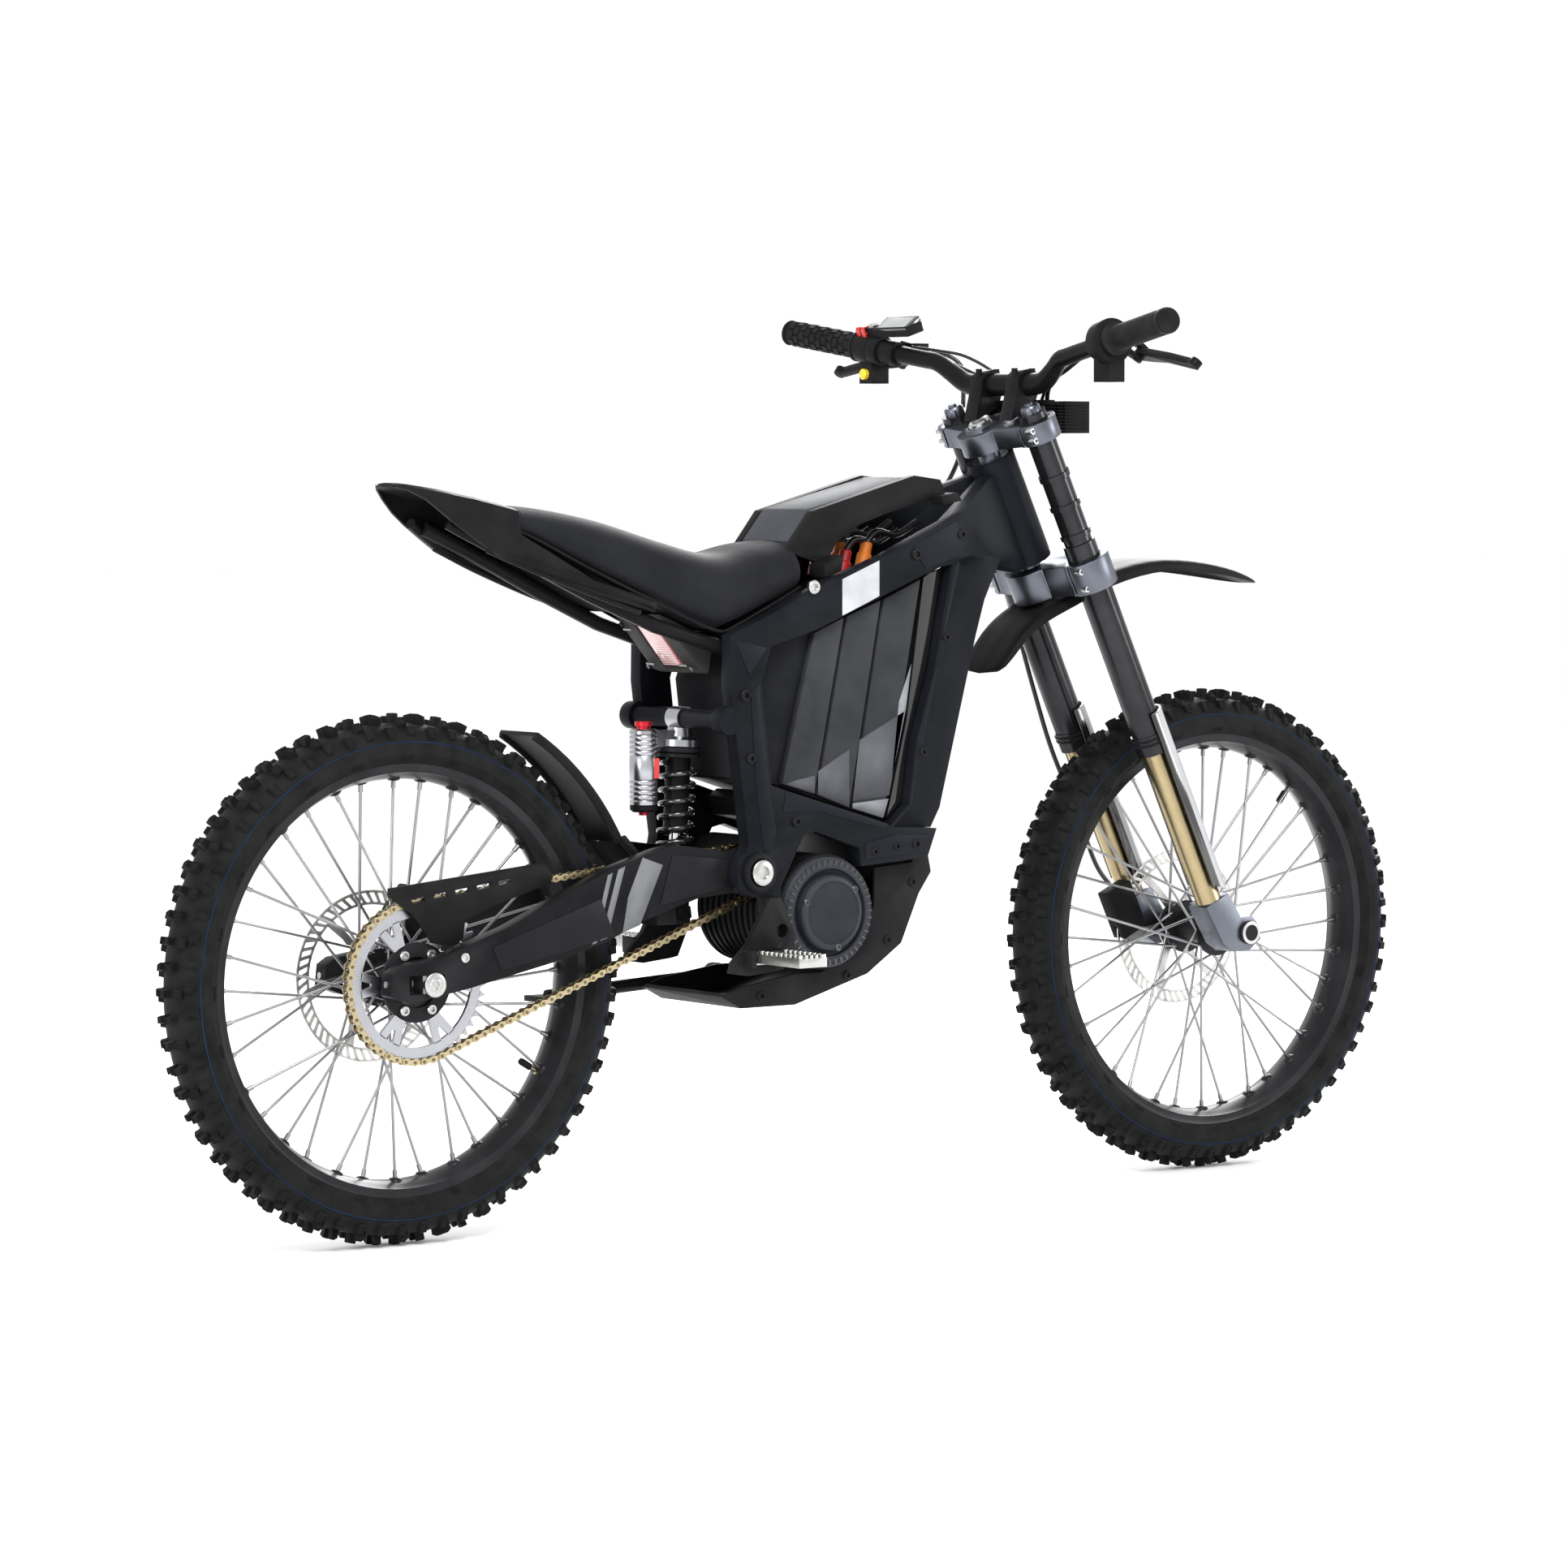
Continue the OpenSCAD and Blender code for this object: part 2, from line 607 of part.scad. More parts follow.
module hub(axle_r, half_w) difference() {
    union() {
        translate([0, 0, -half_w]) cylinder(h = 2 * half_w, r = 20);
        for (z = [-33, 29]) translate([0, 0, z]) cylinder(h = 4, r = 34);
    }
    translate([0, 0, -half_w - 1]) cylinder(h = 2 * half_w + 2, r = axle_r + fit);
}

// Brake rotor: slotted ring on six arms
module rotor(y) translate([0, 0, y - rotor_t / 2]) linear_extrude(rotor_t) {
    difference() {
        circle(r = rotor_r);
        circle(r = rotor_r - 16);
        for (k = [0 : 23], j = [0 : 1]) rotate(15 * k + 5 * j) translate([rotor_r - 11 + 6 * j, 0])
            circle(r = 2);
    }
    difference() {
        circle(r = 32);
        circle(r = 21);
    }
    for (k = [0 : 5]) rotate(60 * k) translate([29, -5]) square([rotor_r - 43, 10]);
}

module rear_tyre() color([0.03, 0.03, 0.03]) place() on_axle(rear_axle_at) tyre();
module rear_rim() color([0.10, 0.10, 0.11]) place() on_axle(rear_axle_at) rim();
module rear_spokes() color("silver") place() on_axle(rear_axle_at) spokes();

module rear_hub() color([0.08, 0.08, 0.08]) place() on_axle(rear_axle_at) {
    hub(rear_axle_r, 41);
    translate([0, 0, chain_y + 2.5]) ring(20, 42, 0, 8);
    translate([0, 0, 41]) ring(20, 30, 0, rotor_y - rotor_t / 2 - 41);
}

module rear_rotor() color("silver") place() on_axle(rear_axle_at) rotor(rotor_y);

module rear_sprocket() color("silver") place() on_axle(rear_axle_at) {
    translate([0, 0, chain_y - 2.3]) linear_extrude(4.6) difference() {
        gear_outline(rear_teeth, rear_pitch_r);
        circle(r = 22);
        for (k = [0 : 5]) rotate(60 * k + 30) translate([62, 0]) circle(r = 18);
    }
    for (k = [0 : 5]) rotate(60 * k) translate([34, 0, chain_y - 6]) cylinder(h = 3.7, r = 6, $fn = 6);
}

module front_tyre() color([0.03, 0.03, 0.03]) place() on_axle(front_axle_at) tyre();
module front_rim() color([0.10, 0.10, 0.11]) place() on_axle(front_axle_at) rim();
module front_spokes() color("silver") place() on_axle(front_axle_at) spokes();

module front_hub() color([0.08, 0.08, 0.08]) place() on_axle(front_axle_at) {
    hub(front_axle_r, 41);
    translate([0, 0, 41]) ring(20, 30, 0, front_rotor_y - rotor_t / 2 - 41);
}

module front_rotor() color("silver") place() on_axle(front_axle_at) rotor(front_rotor_y);

// ---------- fork and steering ----------

module fork_sides() for (side = [-1, 1]) translate([clamp_offset, side * fork_half_gap, 0]) children();

// Clamp plate: two tube clamps joined through the stem
module clamp_plate(z, eye_r, bore_r, waist_r) difference() {
    translate([0, 0, z[0]]) linear_extrude(z[1] - z[0]) {
        hull() {
            circle(r = waist_r);
            translate([clamp_offset, 0]) circle(r = waist_r);
        }
        for (side = [-1, 1]) {
            hull() {
                translate([clamp_offset, side * fork_half_gap]) circle(r = eye_r - 4);
                translate([clamp_offset / 2, 0]) circle(r = waist_r - 6);
            }
            translate([clamp_offset, side * fork_half_gap]) circle(r = eye_r);
        }
    }
    fork_sides() translate([0, 0, z[0] - 1]) cylinder(h = z[1] - z[0] + 2, r = bore_r + fit);
    // Pinch slots at the back of each eye
    for (side = [-1, 1]) translate([clamp_offset - eye_r - 4, side * fork_half_gap - 1.5, z[0] - 1])
        cube([eye_r - bore_r + 5, 3, z[1] - z[0] + 2]);
}

module lower_clamp() color("silver") place() fork_frame() {
    clamp_plate(low_clamp_z, 31, tube_r, 34);
    translate([0, 0, low_clamp_z[1] - 1]) cylinder(h = top_clamp_z[1] + 6 - low_clamp_z[1], r = stem_r);
}

module upper_clamp() color("silver") place() fork_frame() difference() {
    union() {
        clamp_plate(top_clamp_z, 27, 18, 30);
        translate([0, 0, top_clamp_z[1]]) cylinder(h = 5, r = 20, $fn = 6);
    }
    translate([0, 0, top_clamp_z[0] - 1]) cylinder(h = 60, r = stem_r + fit);
}

module fork_tubes() color([0.07, 0.07, 0.08]) place() fork_frame() fork_sides() difference() {
    union() {
        translate([0, 0, tube_low_z]) cylinder(h = 294, r = tube_r);
        translate([0, 0, 880]) cylinder(h = 186, r = 18);
        for (z = [896, 936, 976]) translate([0, 0, z]) cylinder(h = 7, r = 20);
        translate([0, 0, tube_low_z]) cylinder(h = 26, r = 22.5);
        translate([0, 0, 1066]) cylinder(h = 7, r = 13, $fn = 6);
    }
    translate([0, 0, tube_low_z - 1]) cylinder(h = 440, r = leg_r + fit);
}

module fork_legs() color([0.80, 0.72, 0.55]) place() fork_frame() {
    fork_sides() translate([0, 0, axle_fz + 20]) cylinder(h = 400, r = leg_r);
    // Axle carriers at the feet
    for (side = [-1, 1]) difference() {
        translate([0, side * fork_half_gap, 0]) rotate([90, 0, 0]) translate([0, 0, -18]) linear_extrude(36)
            polygon([
                [clamp_offset - 20, axle_fz + 62], [clamp_offset + 20, axle_fz + 62],
                [clamp_offset + 26, axle_fz + 24], [axle_fx + 14, axle_fz + 17],
                [axle_fx + 19, axle_fz], [axle_fx + 14, axle_fz - 17], [axle_fx - 8, axle_fz - 21],
                [clamp_offset - 4, axle_fz - 10], [clamp_offset - 14, axle_fz + 6]]);
        translate([axle_fx, side * fork_half_gap + 20, axle_fz]) rotate([90, 0, 0])
            cylinder(h = 40, r = front_axle_r + fit);
    }
}

module fork_guards() color([0.80, 0.80, 0.80]) place() fork_frame() fork_sides() difference() {
    intersection() {
        ring(24, 27, axle_fz + 68, axle_fz + 330);
        translate([-4, -40, 0]) cube([60, 80, 1000]);
    }
    // Sloping lower rear edge
    translate([-40, -50, axle_fz + 40]) rotate([0, 40, 0]) cube([60, 100, 60]);
}

module front_axle() color([0.10, 0.10, 0.10]) place() {
    cross_rod(front_axle_at, -92, 92, front_axle_r);
    both_sides() {
        cross_rod(front_axle_at, fork_half_gap + 18, fork_half_gap + 22, 15);
        translate([wheelbase, 41.5, tyre_r]) rotate([-90, 0, 0]) ring(front_axle_r + fit, 13, 0, 17.5);
    }
}

module front_caliper() color([0.10, 0.10, 0.11]) place() difference() {
    fork_frame() translate([clamp_offset - 64, front_rotor_y - 12, axle_fz + 30]) cube([40, 24, 66]);
    on_axle(front_axle_at) translate([0, 0, front_rotor_y - rotor_t / 2 - 1.5])
        cylinder(h = rotor_t + 3, r = rotor_r + 3);
}

module front_fender() color([0.09, 0.09, 0.10]) place() intersection() {
    slab(-60, 60) difference() {
        polygon([
            [1323, 760], [1230, 785], [1129, 795], [1040, 777], [1012, 763], [985, 750], [950, 734],
            [905, 704], [866, 650], [880, 644], [925, 684], [955, 706], [1000, 722], [1039, 744],
            [1129, 770], [1230, 768]]);
    }
    difference() {
        linear_extrude(1000) polygon([
            [860, 40], [905, 44], [950, 50], [1060, 50], [1130, 60], [1230, 52], [1323, 18],
            [1323, -18], [1230, -52], [1130, -60], [1060, -50], [950, -50], [905, -44], [860, -40]]);
        // Hollow underside, open downwards
        slab(-42, 42) polygon([
            [1300, 758], [1230, 780], [1129, 790], [1042, 772], [1012, 757], [985, 744], [950, 728],
            [909, 701], [872, 652], [880, 600], [1300, 600]]);
    }
}

// Pair of risers with their bar caps
module bar_clamps() color([0.07, 0.07, 0.08]) place() both_sides() difference() {
    union() {
        slab(24, 48) polygon([
            [bar_mid[0] - 29, 966], [bar_mid[0] + 8, 984], [bar_mid[0] + 17, bar_mid[2] - 2],
            [bar_mid[0] - 17, bar_mid[2] + 2]]);
        cross_rod([bar_mid[0], bar_mid[2]], 24, 48, 19);
        for (dx = [-14, 14]) translate([bar_mid[0] + dx, 36, bar_mid[2] + 8]) cylinder(h = 12, r = 4);
    }
    cross_rod([bar_mid[0], bar_mid[2]], 20, 50, bar_clamp_r + fit);
}

module handlebar() color([0.07, 0.07, 0.08]) place() {
    cross_rod([bar_mid[0], bar_mid[2]], -bar_knee[1], bar_knee[1], bar_clamp_r);
    both_sides() swept([
        bar_knee - [0, 10, 0], bar_knee + [0, 6, 0], [910, 84, 1018], [904, 106, 1032], bar_bend,
        bar_end - 4 * unit(bar_end - bar_bend)], bar_end_r, 16);
}

// Rubber grip with end flange on the left bar end
module grip() along(bar_bend, bar_end) difference() {
    union() {
        translate([0, 0, bar_len - 124]) cylinder(h = 123.8, r = grip_r - 1.5);
        for (k = [0 : 11]) translate([0, 0, bar_len - 116 + 9 * k]) cylinder(h = 5, r = grip_r);
        translate([0, 0, bar_len - 128]) cylinder(h = 5, r = grip_r + 4);
    }
    translate([0, 0, bar_len - 130]) cylinder(h = 127, r = bar_end_r + fit);
}

module left_grip() color([0.05, 0.05, 0.05]) place() grip();

module throttle_grip() color([0.05, 0.05, 0.05]) place() mirror([0, 1, 0]) grip();

module headlight() color([0.06, 0.06, 0.07]) place() difference() {
    union() {
        translate([958, -62, 951]) cube([40, 124, 40]);
        translate([998, -52, 956]) cube([4, 104, 30]);
        // Cooling fins at the back
        for (k = [0 : 9]) translate([950, -59 + 12.6 * k, 953]) cube([9, 4, 36]);
        both_sides() translate([924, 34, 958]) cube([30, 6, 10]);
    }
    translate([1001, -48, 960]) cube([4, 96, 22]);
}

// Display and switch pod on the left half of the bar
pod_at = [884, 0, 1084];
power_y = 247.5;
mode_y = 237.5;
horn_at = [870, 243.5, 1028];
module control_unit() color([0.06, 0.06, 0.07]) place() difference() {
    union() {
        translate(pod_at) rotate([0, -18, 0]) translate([-13, 150, -6]) cube([26, 102.5, 13]);
        // Two clamps round the bar
        along(bar_bend, bar_end) {
            translate([0, 0, 64]) cylinder(h = 24, r = 15.5);
            translate([0, 0, 107.5]) cylinder(h = 24, r = 19);
        }
        // Pod that carries the round button below the bar
        translate([876, 231, 1016]) cube([28, 25.5, 30]);
    }
    along(bar_bend, bar_end) {
        translate([0, 0, -20]) cylinder(h = 300, r = bar_end_r + fit);
        // Room for the brake master's clamp
        translate([0, 0, 90.5]) cylinder(h = 16.5, r = 19.4);
    }
    translate(pod_at) rotate([0, -18, 0]) for (y = [power_y, mode_y]) translate([-20, y, 0])
        rotate([0, 90, 0]) cylinder(h = 14, r = 4);
    translate(horn_at) rotate([0, 90, 0]) cylinder(h = 12, r = 7.3);
}

module pod_button(y) translate(pod_at) rotate([0, -18, 0]) translate([-15, y, 0])
    rotate([0, 90, 0]) cylinder(h = 5, r = 3.6);

module power_button() color([0.8, 0.1, 0.08]) place() pod_button(power_y);
module mode_button() color([0.8, 0.1, 0.08]) place() pod_button(mode_y);
module horn_button() color([0.85, 0.7, 0.1]) place()
    translate(horn_at + [2, 0, 0]) rotate([0, 90, 0]) cylinder(h = 6, r = 7);

// Right-hand brake master: clamp round the bar, body and reservoir ahead of it
lever_pin = [934, 238, 1047];
lever_axis = unit([6052, 1529, 7226]);
module master() difference() {
    union() {
        along(bar_bend, bar_end) translate([0, 0, 91]) cylinder(h = 15.5, r = 19);
        rod([897, 225, 1053], [916, 226, 1049], 8);
        rod([916, 172, 1053], [918, 222, 1049], 10);
        translate([906, 178, 1052]) cube([22, 42, 15]);
        // Fork that holds the lever's pin
        along(lever_pin, lever_pin + lever_axis) for (z = [-10, 5]) translate([0, 0, z])
            linear_extrude(5) {
                circle(r = 7);
                polygon([[0, 7], [-8, 7], [-26, -6], [-20, -20], [0, -7]]);
            }
        rod(lever_pin - 11 * lever_axis, lever_pin + 11 * lever_axis, 3.5);
    }
    along(bar_bend, bar_end) translate([0, 0, -20]) cylinder(h = 300, r = bar_end_r + fit);
}

module brake_masters() color([0.08, 0.08, 0.09]) place() {
    both_sides() master();
    // Twist-grip housing inboard of the right grip
    mirror([0, 1, 0]) difference() {
        union() {
            along(bar_bend, bar_end) translate([0, 0, bar_len - 154]) cylinder(h = 21, r = 27);
            translate([876, 218, 1012]) cube([24, 30, 34]);
        }
        along(bar_bend, bar_end) translate([0, 0, -20]) cylinder(h = 300, r = bar_end_r + fit);
    }
}

// Flat lever blade, drawn in the plane it turns in, from its pin to the ball at its tip
module lever() along(lever_pin, lever_pin + lever_axis) difference() {
    translate([0, 0, -4.5]) linear_extrude(9) {
        circle(r = 8);
        polygon([[-7, 2], [8, -2], [11, 22], [14, 62], [27, 112], [18, 118], [5, 70], [-3, 28]]);
        translate([21, 118]) circle(r = 7.5);
    }
    translate([0, 0, -6]) cylinder(h = 12, r = 3.5 + fit);
}

module brake_lever_left() color([0.08, 0.08, 0.09]) place() lever();
module brake_lever_right() color([0.08, 0.08, 0.09]) place() mirror([0, 1, 0]) lever();

// Brake hoses: the front one down the left fork tube, the rear one back to the frame's neck
front_hose = [
    [921, -168, 1054], [932, -142, 1052], [946, -100, 1040], [950, -60, 1024], [950, -20, 1016],
    [950, 30, 1012], [956, 72, 1003], [967, 106, 982], [967, 121, 894], [986, 120, 815],
    [1000, 117, 766], [1023, 113, 699], [1046, 108, 622], [1060, 100, 566]];
rear_hose = [
    [921, 168, 1054], [932, 146, 1052], [944, 130, 1036], [944, 126, 1000], [938, 122, 960],
    [930, 116, 925], [912, 108, 900], [890, 96, 884], [868, 80, 882], [850, 68, 884]];

module brake_hoses() color([0.04, 0.04, 0.04]) place() {
    swept(smooth(front_hose), 3, 8);
    swept(smooth(rear_hose), 3, 8);
}

main_frame();
head_bearings();
subframe();
seat();
tail_fender();
tail_light_housing();
tail_light_lens();
top_cover();
cover_rails();
battery_case();
motor_housing();
motor_cover();
skid_plate();
frame_bolts();
peg_brackets();
drive_sprocket();
footpeg_right();
footpeg_left();
side_stand();
shock_body();
shock_shaft();
shock_spring();
swingarm();
rear_axle();
chain_guard();
rear_hugger();
chain();
rear_caliper();
rear_tyre();
rear_rim();
rear_spokes();
rear_hub();
rear_rotor();
rear_sprocket();
lower_clamp();
upper_clamp();
fork_tubes();
handlebar();
bar_clamps();
headlight();
front_fender();
control_unit();
left_grip();
brake_masters();
brake_hoses();
throttle_grip();
brake_lever_left();
brake_lever_right();
power_button();
mode_button();
horn_button();
fork_legs();
fork_guards();
front_axle();
front_caliper();
front_tyre();
front_rim();
front_spokes();
front_hub();
front_rotor();
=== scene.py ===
import json
import math

import bmesh
import bpy
from mathutils import Matrix, Vector


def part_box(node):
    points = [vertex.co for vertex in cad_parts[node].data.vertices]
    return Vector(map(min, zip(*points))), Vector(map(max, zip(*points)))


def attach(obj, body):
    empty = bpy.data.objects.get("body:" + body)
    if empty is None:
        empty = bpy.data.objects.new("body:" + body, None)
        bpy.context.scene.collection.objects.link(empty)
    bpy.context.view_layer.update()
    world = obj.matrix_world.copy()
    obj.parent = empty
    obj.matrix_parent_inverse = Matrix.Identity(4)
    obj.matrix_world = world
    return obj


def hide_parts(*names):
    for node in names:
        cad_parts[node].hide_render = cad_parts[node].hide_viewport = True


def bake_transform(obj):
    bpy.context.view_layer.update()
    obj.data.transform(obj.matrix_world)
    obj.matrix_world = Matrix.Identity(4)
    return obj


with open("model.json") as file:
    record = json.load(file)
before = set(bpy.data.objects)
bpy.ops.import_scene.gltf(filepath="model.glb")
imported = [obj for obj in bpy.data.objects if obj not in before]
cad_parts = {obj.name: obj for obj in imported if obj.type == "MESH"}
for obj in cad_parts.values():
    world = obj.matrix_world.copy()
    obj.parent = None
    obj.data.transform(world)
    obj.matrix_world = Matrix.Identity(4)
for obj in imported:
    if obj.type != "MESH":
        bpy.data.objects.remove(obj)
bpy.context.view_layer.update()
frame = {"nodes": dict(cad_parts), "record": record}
NODE_BODY = {n: body for body, nodes in frame["record"]["behaviour"]["bodies"].items() for n in nodes}

# Main sizes of the bike, in metres. Outlines below are [x, z] in millimetres, measured from the
# ground under the rear axle, as in the part's source; at() moves them to the row frame.
WHEELBASE = 1.2384
TYRE_R = 0.3113
RIM_R = 0.2546
RAKE = math.radians(25.24)
STEER_X = WHEELBASE + 0.083
FORK_GAP = 0.077
CLAMP_OFFSET = 0.028
CHAIN_Y = -0.050
AXLE_FX = -0.083 * math.cos(RAKE) + TYRE_R * math.sin(RAKE)
AXLE_FZ = 0.083 * math.sin(RAKE) + TYRE_R * math.cos(RAKE)
ACROSS = Vector((0, 1, 0))
UP = Vector((0, 0, 1))


def at(x, y, z):
    """Millimetres from the rear-axle numbers to metres in the row frame."""
    return Vector((x / 1000 - WHEELBASE / 2, y / 1000, z / 1000))


def in_fork(fx, y, fz):
    """Metres in the fork's own frame (forward, left, up the steering axis) to the row frame."""
    x = STEER_X + fx * math.cos(RAKE) - fz * math.sin(RAKE)
    z = fx * math.sin(RAKE) + fz * math.cos(RAKE)
    return Vector((x - WHEELBASE / 2, y, z))


# ---- materials ----

def shader(name, color, rough, metal=0.0, **sockets):
    """A Principled material with its nodes, and the links and shader that later steps extend."""
    mat = bpy.data.materials.new(name)
    mat.use_nodes = True
    bsdf = mat.node_tree.nodes["Principled BSDF"]
    bsdf.inputs["Base Color"].default_value = (*color, 1)
    bsdf.inputs["Roughness"].default_value = rough
    bsdf.inputs["Metallic"].default_value = metal
    for socket, value in sockets.items():
        bsdf.inputs[socket.replace("_", " ")].default_value = value
    return mat, mat.node_tree, bsdf


def add_node(tree, kind, **values):
    made = tree.nodes.new(kind)
    for key, value in values.items():
        if hasattr(made, key):
            setattr(made, key, value)
        else:
            made.inputs[key.replace("_", " ")].default_value = value
    return made


def object_coords(tree, scale=(1, 1, 1), turn=0):
    coords = tree.nodes.new("ShaderNodeTexCoord")
    mapping = add_node(tree, "ShaderNodeMapping", Scale=scale, Rotation=(0, 0, turn))
    tree.links.new(coords.outputs["Object"], mapping.inputs["Vector"])
    return mapping.outputs["Vector"]


def vary(tree, bsdf, color, rough, spread=0.25, scale=14, rough_spread=0.08):
    """Slow change of colour and gloss over the surface, as handling and dust leave."""
    noise = add_node(tree, "ShaderNodeTexNoise", Scale=scale, Detail=6, Roughness=0.6)
    tree.links.new(object_coords(tree), noise.inputs["Vector"])
    ramp = add_node(tree, "ShaderNodeValToRGB")
    low, high = ramp.color_ramp.elements
    low.position, high.position = 0.3, 0.72
    low.color = (*[c * (1 - spread) for c in color], 1)
    high.color = (*[min(1, c * (1 + spread) + 0.004) for c in color], 1)
    tree.links.new(noise.outputs["Fac"], ramp.inputs["Fac"])
    tree.links.new(ramp.outputs["Color"], bsdf.inputs["Base Color"])
    spread_map = add_node(tree, "ShaderNodeMapRange")
    spread_map.inputs["To Min"].default_value = max(0.02, rough - rough_spread)
    spread_map.inputs["To Max"].default_value = min(1, rough + rough_spread)
    tree.links.new(noise.outputs["Fac"], spread_map.inputs["Value"])
    tree.links.new(spread_map.outputs["Result"], bsdf.inputs["Roughness"])
    return ramp


def bump(tree, bsdf, source, strength, distance):
    made = add_node(tree, "ShaderNodeBump", Strength=strength, Distance=distance)
    tree.links.new(source, made.inputs["Height"])
    tree.links.new(made.outputs["Normal"], bsdf.inputs["Normal"])


def grain(tree, bsdf, kind, output, strength, distance, stretch=(1, 1, 1), **values):
    """Raises the surface by a fine texture laid on the object's own coordinates."""
    texture = add_node(tree, "ShaderNodeTex" + kind, **values)
    tree.links.new(object_coords(tree, stretch), texture.inputs["Vector"])
    bump(tree, bsdf, texture.outputs[output], strength, distance)


def edge_wear(tree, bsdf, ramp, worn, amount=0.5):
    """Lightens exposed edges, found from the mesh's own pointiness."""
    geometry = tree.nodes.new("ShaderNodeNewGeometry")
    edges = add_node(tree, "ShaderNodeValToRGB")
    edges.color_ramp.elements[0].position = 0.52
    edges.color_ramp.elements[1].position = 0.62
    edges.color_ramp.elements[1].color = (amount, amount, amount, 1)
    mix = add_node(tree, "ShaderNodeMix", data_type="RGBA")
    mix.inputs[7].default_value = (*worn, 1)
    tree.links.new(geometry.outputs["Pointiness"], edges.inputs["Fac"])
    tree.links.new(edges.outputs["Color"], mix.inputs[0])
    tree.links.new(ramp.outputs["Color"], mix.inputs[6])
    tree.links.new(mix.outputs[2], bsdf.inputs["Base Color"])


def painted(name, color, rough, peel=900, strength=0.05, metal=0.0, worn=None, coat=0.0):
    """Satin paint or powder coat: fine orange peel, slow gloss change and worn edges."""
    mat, tree, bsdf = shader(name, color, rough, metal, Coat_Weight=coat, Coat_Roughness=0.2,
                             Specular_IOR_Level=0.06)
    ramp = vary(tree, bsdf, color, rough)
    grain(tree, bsdf, "Noise", "Fac", strength, 0.0004, Scale=peel, Detail=2)
    if worn:
        edge_wear(tree, bsdf, ramp, worn)
    return mat


def moulded(name, color, rough, cell=1400, strength=0.25):
    """Moulded plastic with a fine spark-eroded texture."""
    mat, tree, bsdf = shader(name, color, rough, Specular_IOR_Level=0.06)
    vary(tree, bsdf, color, rough, spread=0.18)
    grain(tree, bsdf, "Voronoi", "Distance", strength, 0.0003, Scale=cell)
    return mat


def brushed(name, color, rough, stretch=(40, 900, 900), strength=0.12, metal=1.0):
    """Bare metal with fine lines drawn along one direction."""
    mat, tree, bsdf = shader(name, color, rough, metal)
    vary(tree, bsdf, color, rough, spread=0.10, scale=22, rough_spread=0.10)
    grain(tree, bsdf, "Noise", "Fac", strength, 0.0003, stretch, Scale=1.0, Detail=3)
    return mat


def rubber(name, color, rough=0.78):
    """Tyre rubber: dusty, slightly mottled, with a fine moulded skin."""
    mat, tree, bsdf = shader(name, color, rough, Specular_IOR_Level=0.06, Sheen_Weight=0.03)
    vary(tree, bsdf, color, rough, spread=0.4, scale=30, rough_spread=0.1)
    grain(tree, bsdf, "Noise", "Fac", 0.25, 0.0005, Scale=700, Detail=4)
    return mat


def vinyl(name, color):
    """Seat vinyl with a small diamond-ribbed anti-slip pattern."""
    mat, tree, bsdf = shader(name, color, 0.55, Specular_IOR_Level=0.06, Sheen_Weight=0.04)
    vary(tree, bsdf, color, 0.55, spread=0.2, scale=9, rough_spread=0.05)
    waves = []
    for turn in (0.9, -0.9):  # two slanting sets of lines make the diamonds
        wave = add_node(tree, "ShaderNodeTexWave", Scale=95, Distortion=0.0)
        tree.links.new(object_coords(tree, turn=turn), wave.inputs["Vector"])
        waves.append(wave)
    join = add_node(tree, "ShaderNodeMath", operation="MULTIPLY")
    for k, wave in enumerate(waves):
        tree.links.new(wave.outputs["Fac"], join.inputs[k])
    bump(tree, bsdf, join.outputs["Value"], 0.35, 0.0008)
    return mat


def glossy(name, color, rough=0.12, coat=1.0, **more):
    mat, tree, bsdf = shader(name, color, rough, Coat_Weight=coat, Coat_Roughness=0.05, **more)
    vary(tree, bsdf, color, rough, spread=0.1, rough_spread=0.04)
    return mat


